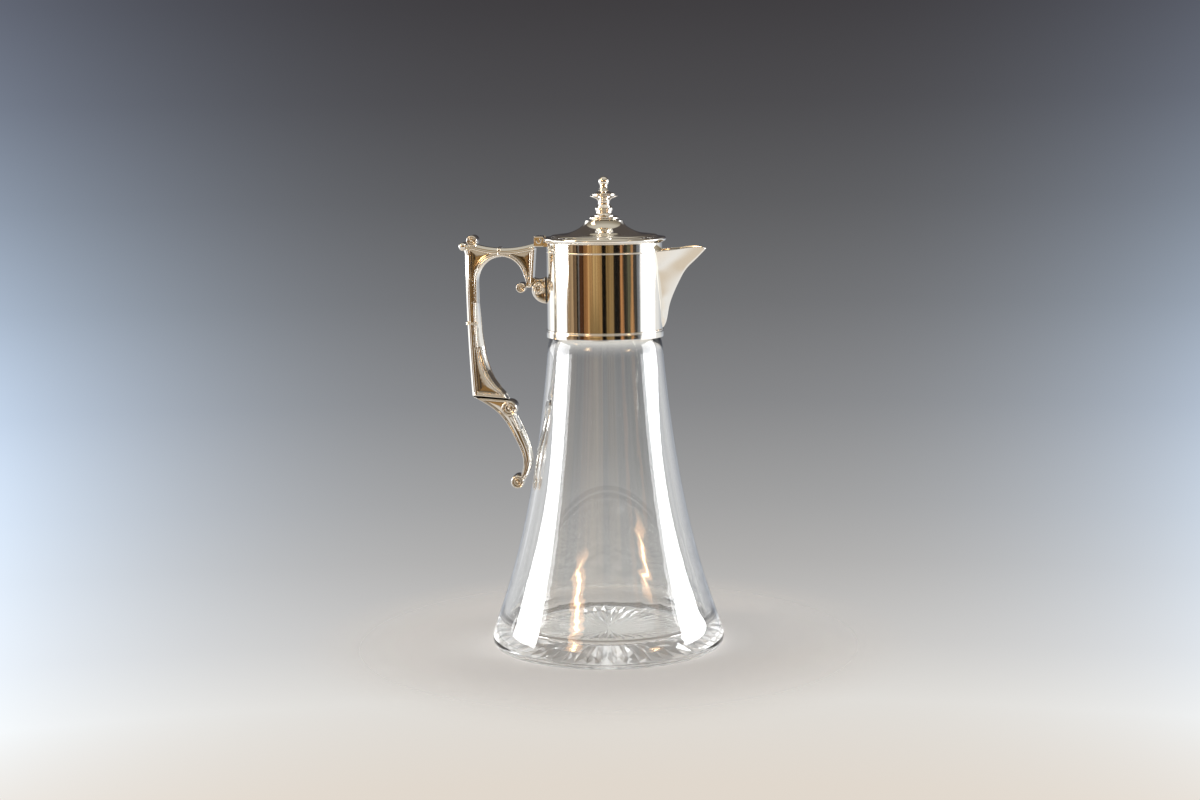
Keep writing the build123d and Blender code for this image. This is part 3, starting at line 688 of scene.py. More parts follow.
@dataclass
class Studio:
    """The camera at the photograph's angle, the table, two tall soft lights and the backdrop."""

    camera_azimuth: float = 5.0
    camera_away: float = 1.19389
    camera_height: float = 0.31225
    camera_down: float = math.degrees(0.1332)
    camera_yaw: float = math.degrees(0.0031)
    camera_roll: float = math.degrees(0.0115)
    lens: float = 58.34
    table_radius: float = 0.9
    panel_away: float = 1.15
    ambient: float = 0.36

    def build(self) -> None:
        """Makes the whole studio."""
        self.make_camera()
        self.make_table()
        self.make_panel("softbox_handle_side", -88.0, 0.70, 7.5)
        self.make_panel("softbox_handle_side_edge", -122.0, 0.60, 1.8)
        self.make_panel("softbox_spout_side", 103.5, 0.80, 7.5)
        self.make_world()
        bpy.context.scene.view_settings.view_transform = "Standard"

    def make_camera(self) -> None:
        """Camera at the photograph's place, tilt and field of view."""
        data = bpy.data.cameras.new("camera")
        data.lens, data.sensor_width, data.sensor_fit = self.lens, 36.0, "HORIZONTAL"
        data.clip_start, data.clip_end = 0.02, 50.0
        camera = bpy.data.objects.new("camera", data)
        turn = Matrix.Rotation(math.radians(self.camera_azimuth), 4, "Z")
        aim = Matrix.Rotation(math.radians(self.camera_yaw), 4, "Z")
        tilt = Matrix.Rotation(math.radians(90.0 - self.camera_down), 4, "X")
        roll = Matrix.Rotation(-math.radians(self.camera_roll), 4, "Z")
        place = Matrix.Translation((0.0, -self.camera_away, self.camera_height))
        camera.matrix_world = turn @ place @ aim @ tilt @ roll
        bpy.context.scene.collection.objects.link(camera)
        bpy.context.scene.camera = camera

    def make_table(self) -> None:
        """Round table sheet, in rings so that its edge is smooth."""
        rings, steps = 24, 96
        angles = np.arange(steps) * math.tau / steps
        radii = self.table_radius / MM * np.linspace(0, 1, rings)[:, None]
        flat = np.zeros((rings, steps))
        points = np.stack([radii * np.cos(angles), radii * np.sin(angles), flat], axis=-1)
        table = make_piece("table_sheet", points.reshape(-1, 3), grid_faces(rings, steps, False, True))
        table.data.materials.append(TableFinish().build())

    def make_panel(self, name: str, azimuth: float, width: float, radiance: float) -> None:
        """A soft light beside the jug.

        Args:
            name: The light's name.
            azimuth: Its bearing in degrees, from -Y towards +X.
            width: Its width in metres.
            radiance: How bright its face is.
        """
        height, middle = 0.503, 0.3985
        data = bpy.data.lights.new(name, "AREA")
        data.shape, data.size, data.size_y = "RECTANGLE", width, height
        data.energy = radiance * math.pi * width * height
        data.color = (0.985, 0.99, 1.0)
        light = bpy.data.objects.new(name, data)
        bearing = math.radians(azimuth)
        spot = Vector((math.sin(bearing), -math.cos(bearing), 0.0)) * self.panel_away
        light.location = spot + Vector((0.0, 0.0, middle))
        light.rotation_euler = spot.to_track_quat("Z", "Y").to_euler()
        light.visible_camera = False
        bpy.context.scene.collection.objects.link(light)

    def make_world(self) -> None:
        """Backdrop from pale at the table to dark grey above, and the room that the metal mirrors."""
        world = bpy.data.worlds.new("studio")
        world.use_nodes = True
        bpy.context.scene.world = world
        g = Graph(world.node_tree)
        x, y, z = g.axes(g.node("ShaderNodeTexCoord", None, None, "Generated"))
        bearing = g.math("ARCTAN2", x, y * -1.0) * (180 / math.pi)
        back = self.backdrop(g, x, z, (2.49, 2.98, 3.61, 1.0))
        room = self.room(g, bearing, y, z, self.backdrop(g, x, z, (2.35, 2.5, 2.7, 1.0)))
        kinds = ("Is Camera Ray", "Is Diffuse Ray", "Is Transmission Ray")
        path = {k: g.node("ShaderNodeLightPath", None, None, k) for k in kinds}
        seen = g.mix(path["Is Camera Ray"], room, back)
        straight = g.node("ShaderNodeLightPath", None, None, "Glossy Depth").rise(1.0, 0.0)
        seen = g.mix(path["Is Transmission Ray"], seen, self.through(g, bearing, (x, y, z), straight))
        soft = (self.ambient, self.ambient * 0.995, self.ambient * 0.985, 1.0)
        light = g.mix(path["Is Diffuse Ray"], seen, soft)
        g.surface(g.node("ShaderNodeBackground", None, {"Color": light, "Strength": 1.0}))

    @staticmethod
    def backdrop(g: Graph, x: Value, z: Value, tint: Colour) -> Value:
        """The sweep behind the jug: a tone for each height, tinted towards the lights."""
        stops = [
            (0.04, (0.75, 0.685, 0.61, 1.0)),
            (0.134, (0.735, 0.712, 0.675, 1.0)),
            (0.20, (0.585, 0.57, 0.552, 1.0)),
            (0.289, (0.44, 0.432, 0.424, 1.0)),
            (0.355, (0.358, 0.356, 0.356, 1.0)),
            (0.47, (0.243, 0.245, 0.252, 1.0)),
            (0.586, (0.166, 0.168, 0.174, 1.0)),
            (0.702, (0.112, 0.112, 0.117, 1.0)),
            (0.816, (0.074, 0.072, 0.077, 1.0)),
            (0.923, (0.053, 0.050, 0.054, 1.0)),
            (1.0, (0.042, 0.039, 0.042, 1.0)),
        ]
        tone = g.node("ShaderNodeValToRGB", {"stops": stops}, {0: (z + 0.34) / 0.44})
        away = ((x + 0.065).size() * (1 / 0.32)).at_most(1.0)
        fade = (z.rise(-0.33, -0.09) * 0.9 + 0.1) * x.size().rise(0.9, 0.42)
        tinted = g.mix(away**3.2 * fade, (1.0, 1.0, 1.0, 1.0), tint)
        return g.mix(1.0, tone, tinted, "MULTIPLY")

    def through(self, g: Graph, bearing: Value, way: tuple[Value, Value, Value], straight: Value) -> Value:
        """What the glass shows where it bends the view: the sweep, with pale streaks above it and in front.

        Args:
            g: The world's graph.
            bearing: The ray's bearing in degrees.
            way: The three parts of the ray's direction.
            straight: 1 for rays that nothing mirrored on their way.

        Returns:
            The colour.
        """
        x, y, z = way
        plain = self.backdrop(g, x, z, (1.95, 1.98, 2.02, 1.0))
        back = g.mix(x.size().rise(0.32, 0.7) * 0.85, plain, (0.62, 0.62, 0.615, 1.0))
        streaks = g.noise(g.node("ShaderNodeCombineXYZ", None, {0: bearing * 0.22, 1: z * 3.0}), 1.0, 3.0).rise(0.36, 0.62)
        pale = g.mix(streaks, (0.20, 0.205, 0.21, 1.0), (1.0, 1.0, 0.98, 1.0))
        front = g.mix(streaks, (0.07, 0.063, 0.055, 1.0), (0.42, 0.39, 0.34, 1.0))
        bent = g.mix(y.rise(0.12, -0.08), g.mix(z.rise(-0.07, 0.0), back, pale), front)
        beside = x.size().rise(0.8, 0.9).at_least(y.rise(-0.25, -0.45))
        return g.mix(straight * beside, bent, plain)

    @staticmethod
    def patch(bearing: Value, z: Value, sides: Point, heights: Point) -> Value:
        """A soft-edged window of the room, between two bearings in degrees and two heights of the ray."""
        across = bearing.rise(sides[0], sides[0] + 3) * bearing.rise(sides[1], sides[1] - 3)
        return across * z.rise(heights[0], heights[0] + 0.03) * z.rise(heights[1], heights[1] - 0.03)

    def room(self, g: Graph, bearing: Value, y: Value, z: Value, back: Value) -> Value:
        """What polished metal mirrors: warm timber with dark gaps in front, the sweep behind, a pale ceiling."""
        black = (0.006, 0.005, 0.004, 1.0)
        stops = [
            (0.0, (0.30, 0.20, 0.11, 1.0)),
            (0.05, (0.42, 0.29, 0.17, 1.0)),
            (0.10, (0.20, 0.13, 0.075, 1.0)),
            (0.147, (0.02, 0.016, 0.012, 1.0)),
            (0.17, (0.16, 0.15, 0.14, 1.0)),
            (0.187, (0.06, 0.025, 0.012, 1.0)),
            (0.244, (0.27, 0.13, 0.05, 1.0)),
            (0.30, (0.42, 0.24, 0.10, 1.0)),
            (0.36, (0.52, 0.34, 0.15, 1.0)),
            (0.42, (0.38, 0.23, 0.095, 1.0)),
            (0.475, black),
            (0.53, (0.22, 0.14, 0.058, 1.0)),
            (0.58, (0.29, 0.19, 0.085, 1.0)),
            (0.625, (0.012, 0.01, 0.008, 1.0)),
            (0.705, (0.46, 0.22, 0.09, 1.0)),
            (0.745, (0.035, 0.03, 0.022, 1.0)),
            (0.80, (0.10, 0.095, 0.06, 1.0)),
            (0.845, (0.50, 0.27, 0.12, 1.0)),
            (0.885, (0.06, 0.055, 0.05, 1.0)),
            (0.93, (0.15, 0.16, 0.18, 1.0)),
            (0.97, (0.45, 0.48, 0.52, 1.0)),
        ]
        where = g.node("ShaderNodeCombineXYZ", None, {0: bearing * 0.09, 1: z * 26.0})
        wave = (g.noise(where, 1.0, 2.0) - 0.5) * bearing.rise(20.0, 55.0) * 14.0
        timber = g.node("ShaderNodeValToRGB", {"stops": stops, "ramp": "CONSTANT"}, {0: (bearing + wave + 76.0) / 158.0})
        grain = g.noise(g.node("ShaderNodeCombineXYZ", None, {0: bearing * 0.42, 1: z * 7.0}), 1.0, 3.0)
        timber = g.mix(0.8, timber, g.mix(grain.rise(0.25, 0.75), (0.42, 0.40, 0.38, 1.0), (1.5, 1.5, 1.45, 1.0)), "MULTIPLY")
        door = self.patch(bearing, z, (-27.0, -3.0), (-0.16, -0.072))
        timber = g.mix(door, timber, (0.19, 0.125, 0.052, 1.0))
        x = g.math("SINE", bearing * (math.pi / 180))
        back = g.mix(z.rise(0.08, 0.26), back, (0.088, 0.076, 0.07, 1.0))
        back = g.mix(z.rise(-0.52, -0.68) * y.rise(0.45, 0.15), back, (0.69, 0.61, 0.51, 1.0))
        sides = x.size().rise(0.35, 0.75) * z.rise(0.45, 0.15) * z.rise(-0.72, -0.52).at_least(y.rise(0.2, 0.5))
        back = g.mix(sides * 0.92, back, (0.87, 0.88, 0.89, 1.0))
        front = bearing.size().rise(92.0, 78.0)
        shown = front * z.rise(0.45, 0.25) * z.rise(-0.22, -0.155)
        cream = g.mix(z.rise(0.4, 0.95), (0.24, 0.205, 0.15, 1.0), (0.56, 0.53, 0.46, 1.0))
        ceiling = z.rise(0.30, 0.50) * y.rise(0.52, 0.44)
        room = g.mix(ceiling, g.mix(shown, back, timber), cream)
        sway = g.noise(g.node("ShaderNodeCombineXYZ", None, {0: z * 42.0}), 1.0, 1.0) - 0.5
        bent = bearing + sway * 20.0
        white, warm, glow = (1.25, 1.27, 1.30, 1.0), (20.0, 14.5, 8.0, 1.0), (3.4, 1.9, 0.9, 1.0)
        lamps = [
            (bearing, (-136.5, -75.0), (-0.33, -0.02), white),
            (bearing, (78.5, 125.5), (-0.33, -0.02), white),
            (bearing, (-84.0, -57.0), (0.46, 0.74), (6.5, 4.6, 2.6, 1.0)),
            (bent, (-40.0, -22.0), (0.23, 0.44), glow),
            (bent, (-34.5, -27.5), (0.25, 0.42), warm),
            (bent, (45.0, 59.0), (0.165, 0.32), glow),
            (bent, (49.5, 55.5), (0.195, 0.29), warm),
        ]
        for across, sides, heights, glow in lamps:
            room = g.mix(self.patch(across, z, sides, heights), room, glow)
        return room


# ---------------------------------------------------------------- the jug's pieces


@dataclass
class Dresser:
    """Hands each piece its finish and its body, and hides the CAD nodes that it stands for."""

    nodes: dict
    finishes: dict[str, bpy.types.Material]

    def dress(self, piece: bpy.types.Object, finish: str, body: Body, slot: Slot, *stands_for: str) -> None:
        """Finishes one piece.

        Args:
            piece: The piece.
            finish: The finish's name.
            body: The body that it moves with.
            slot: The record's material slot of the piece; not used.
            stands_for: The CAD nodes that it replaces.
        """
        piece.data.materials.clear()
        piece.data.materials.append(self.finishes[finish])
        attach(piece, body.value)
        if stands_for:
            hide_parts(*stands_for)
        LOG.info("%s: %d faces, %s", piece.name, len(piece.data.polygons), finish)

    def keep(self, node: str, finish: str) -> None:
        """Gives a CAD node that stays in view its finish."""
        piece = self.nodes[node]
        piece.data.materials.clear()
        piece.data.materials.append(self.finishes[finish])
        LOG.info("%s: kept, %s", node, finish)


@dataclass
class GlassVessel:
    """Trumpet of clear glass with a thick star-cut base and a ground neck."""

    foot_r: float = 72.4
    foot_round_z: float = 3.2
    contact_r: float = 70.2
    ring_r: float = 60.0
    recess: float = 0.8
    flare_z: float = 20.0
    flare_r: float = 67.8
    flare_length: float = 118.0
    shoulder_r: float = 35.0
    shoulder_z: float = 192.2
    shoulder: tuple[Point, ...] = ((35.55, 7.0), (35.2, 5.0), (34.65, 3.0), (34.05, 1.4), (33.4, 0.0))
    neck_r: float = 34.1
    bore_r: float = 30.5
    neck_length: float = 19.8
    lip_round: float = 1.2
    floor_z: float = 9.0
    floor_r: float = 48.0
    wall_at_flare: float = 6.5
    rays: int = 48
    long_ray: tuple[float, float, float] = (2.5, 42.0, 57.5)
    short_ray: tuple[float, float, float] = (22.0, 44.0, 57.5)
    ray_half_width: float = 2.7
    ray_depth: float = 1.5
    half_columns: int = 3

    def radius(self, z: np.ndarray | float) -> np.ndarray | float:
        """Outer radius of the trumpet at height z."""
        end = math.exp((self.flare_z - self.shoulder_z) / self.flare_length)
        share = (np.exp((self.flare_z - z) / self.flare_length) - end) / (1 - end)
        return self.shoulder_r + (self.flare_r - self.shoulder_r) * share

    def wall(self, z: np.ndarray | float) -> np.ndarray | float:
        """Thickness of the trumpet's wall at height z."""
        share = (z - self.flare_z) / (self.shoulder_z - self.flare_z)
        return self.wall_at_flare + (self.shoulder_r - self.bore_r - self.wall_at_flare) * share

    def outside(self) -> list[Point]:
        """The outer profile from the foot's widest circle up to the shoulder."""
        heights = np.linspace(self.flare_z, self.shoulder_z - 11.0, 16)
        start = [(self.foot_r, self.foot_round_z), (71.8, 8.0), (70.2, 13.6)]
        top = [(r, self.shoulder_z - down) for r, down in self.shoulder]
        return [tuple(p) for p in spline(start + [(float(self.radius(z)), z) for z in heights] + top, 130)]

    def inside(self) -> list[Point]:
        """The inner profile from the neck down to the middle of the floor."""
        heights = np.linspace(self.shoulder_z, self.flare_z, 90)
        wall = [(float(self.radius(z) - self.wall(z)), float(z)) for z in heights]
        low = wall[-1]
        turn = bezier(low, (low[0] + 2.2, low[1] - 6.5), (self.floor_r + 9.0, self.floor_z), (self.floor_r, self.floor_z), 16)
        floor = [(r, self.floor_z) for r in np.linspace(self.floor_r, 0.0, 14)[1:]]
        return wall + [tuple(p) for p in turn[1:]] + floor

    def profile(self) -> list[Point]:
        """The whole closed section, from the middle of the base outwards."""
        cut = np.concatenate([[0.0, 1.5], np.linspace(self.long_ray[0], self.long_ray[2], 56)])
        base = [(float(r), self.recess) for r in cut]
        base += [(58.4, self.recess)]
        ring = eased([(59.0, self.recess), (self.ring_r, 0.0), (self.contact_r, 0.0)], 0.3, closed=False)
        turns = np.radians(np.linspace(0, 90, 10))[1:-1]
        wide, high = self.foot_r - self.contact_r, self.foot_round_z
        foot = [(self.contact_r + wide * math.sin(t), high * (1 - math.cos(t))) for t in turns]
        top = self.shoulder_z + self.neck_length
        neck = [
            (self.neck_r, self.shoulder_z + 0.8),
            (self.neck_r, top - self.lip_round),
            (self.neck_r - self.lip_round, top),
            (self.bore_r + 0.6, top),
            (self.bore_r, top - 0.8),
            (self.bore_r, self.shoulder_z + 4.0),
        ]
        return base + ring + foot + self.outside() + neck + self.inside()

    def column_angles(self, r: float, ray: tuple[float, float, float]) -> tuple[np.ndarray, np.ndarray]:
        """Where the columns of one ray stand at radius r.

        Args:
            r: The radius.
            ray: Where the ray starts, is widest and ends.

        Returns:
            Their angles off the ray's middle, and how deep each is cut, from 0 to 1.
        """
        inner, widest, outer = ray
        half = math.pi / self.rays
        share = min(max(min((r - inner) / (widest - inner), (outer - r) / (outer - widest)), 0.0), 1.0)
        width = math.asin(min(self.ray_half_width * share / max(r, 1.0), 0.99))
        width = min(max(width, 0.12 * half), 0.92 * half)
        n = self.half_columns
        across = np.arange(n + 1) / n
        side = np.concatenate([across * width, width + across[1:] * (half - width)])
        deep = np.concatenate([(1 - across) * share, np.zeros(n)])
        return np.concatenate([-side[:0:-1], side[:-1]]), np.concatenate([deep[:0:-1], deep[:-1]])

    def mesh(self) -> bpy.types.Object:
        """The vessel's mesh, with the star cut as real facets."""
        section = self.profile()
        on_base = [abs(z - self.recess) < 1e-9 and r <= self.long_ray[2] for r, z in section]
        centres = np.arange(self.rays) * math.tau / self.rays
        rows = []
        for (r, z), cut in zip(section, on_base, strict=True):
            pair = [self.column_angles(r if cut else self.foot_r, ray) for ray in (self.long_ray, self.short_ray)]
            angles = np.stack([pair[i % 2][0] for i in range(self.rays)])
            deep = np.stack([pair[i % 2][1] for i in range(self.rays)])
            turn = (centres[:, None] + angles).reshape(-1)
            lift = deep.reshape(-1) * self.ray_depth * cut
            rows.append(np.stack([r * np.cos(turn), r * np.sin(turn), z + lift], axis=1))
        points = np.array(rows)
        faces = grid_faces(len(rows), points.shape[1], False, True)
        return make_piece("glass_vessel", points.reshape(-1, 3), faces, crease=12.0)

    def build(self, dresser: Dresser) -> None:
        """Makes and dresses the vessel and its plaster."""
        dresser.dress(self.mesh(), "glass", Body.JUG, Slot.GLASS, "glass_body")
        dresser.keep("plaster_bed", "plaster")


@dataclass
class Spout:
    """V-shaped beak with a round keel, thin walls and a rolled rim."""

    collar_r: float = 35.6
    collar_top: float = 249.8
    root: float = 3.0
    wall: float = 1.2
    keel: tuple[tuple[float, float, float], ...] = (
        (52.4, 0.3, 0.3),
        (50.8, 1.3, 0.8),
        (42.8, 3.3, 2.2),
        (35.4, 5.2, 3.6),
        (28.8, 7.9, 6.3),
        (22.8, 10.8, 8.9),
        (16.4, 14.7, 11.6),
        (11.5, 19.6, 12.8),
        (6.0, 25.1, 13.7),
        (1.0, 30.0, 14.4),
    )
    rim: tuple[Point, ...] = ((-2.0, 5.2), (12.0, 3.9), (20.0, 3.2), (26.3, 4.0), (32.0, 5.4))
    nose: float = 0.14
    bow: float = 0.05
    hollow_from: float = 221.0
    columns: int = 97
    rows: int = 90

    def __post_init__(self) -> None:
        """Works out the smooth keel and rim."""
        reach = spline([(self.collar_top - d, out) for d, out, _ in self.keel], 400)
        half = spline([(self.collar_top - d, w) for d, _, w in self.keel], 400)
        self._reach, self._half = reach, half
        self._rim = spline(self.rim, 200)

    def section(self, z: np.ndarray, s: np.ndarray, wall: float) -> tuple[np.ndarray, np.ndarray]:
        """Points of the beak's level sections.

        Args:
            z: Their heights.
            s: Their places across, from -1 at one root to 1 at the other, with 0 on the keel.
            wall: How far the section is set in.

        Returns:
            Their x and y.
        """
        root = self.collar_r - self.root
        tip = self.collar_r + np.interp(z, self._reach[:, 0], self._reach[:, 1]) - wall
        half = np.maximum(np.interp(z, self._half[:, 0], self._half[:, 1]) - wall, 0.05)
        t = np.abs(s)
        bend = (np.sqrt(t * t + self.nose**2) - self.nose) / (math.sqrt(1 + self.nose**2) - self.nose)
        bulge = 4 * t * (1 - t) * self.bow
        x = tip - (tip - root) * bend + bulge * half
        y = np.sign(s) * (half * t + bulge * (tip - root))
        return x, y

    def junction(self, z: np.ndarray, wall: float) -> np.ndarray:
        """Where across a section it meets the collar's face, for each height."""
        low, high = np.zeros_like(z), np.ones_like(z)
        for _ in range(30):
            middle = (low + high) / 2
            x, y = self.section(z, middle, wall)
            outside = np.hypot(x, y) > self.collar_r
            low, high = np.where(outside, middle, low), np.where(outside, high, middle)
        return high

    def sheet(self, across: np.ndarray, t: np.ndarray, wall: float) -> np.ndarray:
        """One face of the beak as a grid of points.

        Args:
            across: Each column's place, from -1 to 1 between the two junctions.
            t: Each row's place, from 0 at the foot to 1 at the rim.
            wall: How far the face is set in.

        Returns:
            The points, row by row.
        """
        low = self.collar_top - self.keel[0][0]
        top = np.full_like(across, self.collar_top - 4.0)
        for _ in range(20):
            x, _ = self.section(top, across * self.junction(top, wall), wall)
            drop = np.interp(x - self.collar_r, self._rim[:, 0], self._rim[:, 1])
            top = self.collar_top - drop
        z = low + t[:, None] * (top - low)[None, :]
        flat = z.reshape(-1)
        s = np.tile(across, len(t)) * self.junction(flat, wall)
        x, y = self.section(flat, s, wall)
        return np.stack([x, y, flat], axis=1).reshape(len(t), len(across), 3)

    def mesh(self) -> bpy.types.Object:
        """The beak as one closed shell."""
        across = np.sin(np.linspace(-1, 1, self.columns) * math.pi / 2)
        t = 1 - (1 - np.linspace(0, 1, self.rows)) ** 1.4
        outer, inner = self.sheet(across, t, 0.0), self.sheet(across, t, self.wall)
        hollow = np.clip((inner[..., 2] - self.hollow_from + 1.5) / 4.0, 0, 1)[..., None]
        hollow = hollow * hollow * (3 - 2 * hollow)
        skin = outer.copy()
        skin[..., 0] = np.sqrt(self.collar_r**2 - np.minimum(outer[..., 1] ** 2, 0.9 * self.collar_r**2))
        back = skin * (1 - hollow) + inner * hollow
        back[..., 0] = np.maximum(back[..., 0], np.sqrt(self.collar_r**2 - back[..., 1] ** 2))
        lip = []
        for angle in np.radians((30, 60, 90, 120, 150)):
            ridge = outer[-1] * (1 + math.cos(angle)) / 2 + back[-1] * (1 - math.cos(angle)) / 2
            ridge[:, 2] += 0.45 * math.sin(angle)
            lip.append(ridge)
        wall = np.concatenate([outer, np.array(lip), back[::-1]])
        rows, columns = wall.shape[:2]
        faces = grid_faces(rows, columns, True, False)
        for edge in (0, columns - 1):
            half = rows // 2
            for i in range(half):
                a, b = i * columns + edge, (i + 1) * columns + edge
                c, d = (rows - 2 - i) * columns + edge, (rows - 1 - i) * columns + edge
                faces.append((a, b, c, d) if b != c else (a, b, d))
        return make_piece("spout_beak", wall.reshape(-1, 3), faces, crease=40.0)

    def hole(self, z: np.ndarray) -> np.ndarray:
        """Half the width of the pouring hole in the collar, for each height."""
        _, y = self.section(z, self.junction(z, self.wall), self.wall)
        return y

    def build(self, dresser: Dresser) -> None:
        """Makes and dresses the spout."""
        dresser.dress(self.mesh(), "silver", Body.JUG, Slot.SILVER, "spout")


@dataclass
class Collar:
    """Silver-plated tube with the pouring hole, its proud foot band and the line under the lid."""

    spout: Spout
    radius: float = 35.6
    wall: float = 1.0
    low: float = 192.2
    top: float = 249.8
    band_h: float = 4.8
    band_proud: float = 0.5
    line_drop: float = 5.3
    line_h: float = 1.0
    line_proud: float = 0.35
    columns: int = 288

    def tube_mesh(self) -> bpy.types.Object:
        """The tube, with its columns drawn apart round the pouring hole."""
        hole_low, hole_top = self.spout.hollow_from, self.top - self.spout.rim[0][1]
        heights = np.concatenate(
            [np.linspace(self.low, hole_low, 12), np.linspace(hole_low, hole_top, 26), np.linspace(hole_top, self.top, 6)]
        )
        open_row = np.zeros(len(heights), bool)
        open_row[12:38] = True
        half = np.where(open_row, self.spout.hole(heights), 0.0)
        share = np.linspace(0, 1, self.columns + 1)
        sheets = []
        for radius in (self.radius, self.radius - self.wall):
            start = np.arcsin(half / self.radius)[:, None]
            angle = start + share[None, :] * (math.tau - 2 * start)
            x, y = radius * np.cos(angle), radius * np.sin(angle)
            z = np.broadcast_to(heights[:, None], x.shape)
            sheets.append(np.stack([x, y, z], axis=-1))
        rows, columns = sheets[0].shape[:2]
        offset = rows * columns
        faces = []
        for i in range(rows - 1):
            for j in range(columns - 1):
                a, b = i * columns + j, (i + 1) * columns + j
                faces += [(a, a + 1, b + 1, b), (offset + a, offset + b, offset + b + 1, offset + a + 1)]
            if open_row[i] and open_row[i + 1]:
                for j in (0, columns - 1):
                    a, b = i * columns + j, (i + 1) * columns + j
                    faces.append((a, b, offset + b, offset + a))
        for i in (0, rows - 1):
            for j in range(columns - 1):
                a = i * columns + j
                faces.append((a, a + 1, offset + a + 1, offset + a))
        for low_row, high_row in ((11, 12), (37, 38)):
            for base in (0, offset):
                closed = base + (low_row if low_row == 11 else high_row) * columns
                opened = base + (high_row if low_row == 11 else low_row) * columns
                faces.append((closed, opened, opened + columns - 1))
            closed = (low_row if low_row == 11 else high_row) * columns
            opened = (high_row if low_row == 11 else low_row) * columns
            faces.append((opened, opened + columns - 1, offset + opened + columns - 1, offset + opened))
        points = np.concatenate([s.reshape(-1, 3) for s in sheets])
        return make_piece("collar_tube", points, faces)

    def build(self, dresser: Dresser) -> None:
        """Makes and dresses the tube and its two lines."""
        dresser.dress(self.tube_mesh(), "silver_smooth", Body.JUG, Slot.SILVER, "collar_sleeve")
        out, high = self.radius + self.band_proud, self.low + self.band_h
        band = [
            (self.radius, self.low),
            (out, self.low),
            (out, high - 1.5),
            (self.radius + 0.15, high - 1.2),
            (self.radius + 0.15, high - 1.0),
            (out, high - 0.75),
            (out, high - 0.3),
            (self.radius, high),
        ]
        foot = lathe("collar_foot_band", eased(band, 0.14), 288)
        dresser.dress(foot, "silver_smooth", Body.JUG, Slot.SILVER, "collar_lower_band")
        middle = self.top - self.line_drop
        half = self.line_h / 2
        bead = arc((self.radius, middle - half), (self.radius + self.line_proud, middle), (self.radius, middle + half), 9)
        line = lathe("collar_top_line", [tuple(p) for p in bead], 288)
        self.open_for_spout(line)
        dresser.dress(line, "silver_smooth", Body.JUG, Slot.SILVER, "collar_upper_band")

    def open_for_spout(self, line: bpy.types.Object) -> None:
        """Breaks the line where the spout stands."""
        half = float(self.spout.hole(np.array([self.top - self.line_drop]))[0]) + self.spout.wall
        work = bmesh.new()
        work.from_mesh(line.data)
        inside = [f for f in work.faces if f.calc_center_median().x > 0 and abs(f.calc_center_median().y) < half * MM]
        bmesh.ops.delete(work, geom=inside, context="FACES")
        ends = [e for e in work.edges if e.is_boundary]
        bmesh.ops.holes_fill(work, edges=ends, sides=0)
        bmesh.ops.recalc_face_normals(work, faces=work.faces)
        work.to_mesh(line.data)
        work.free()


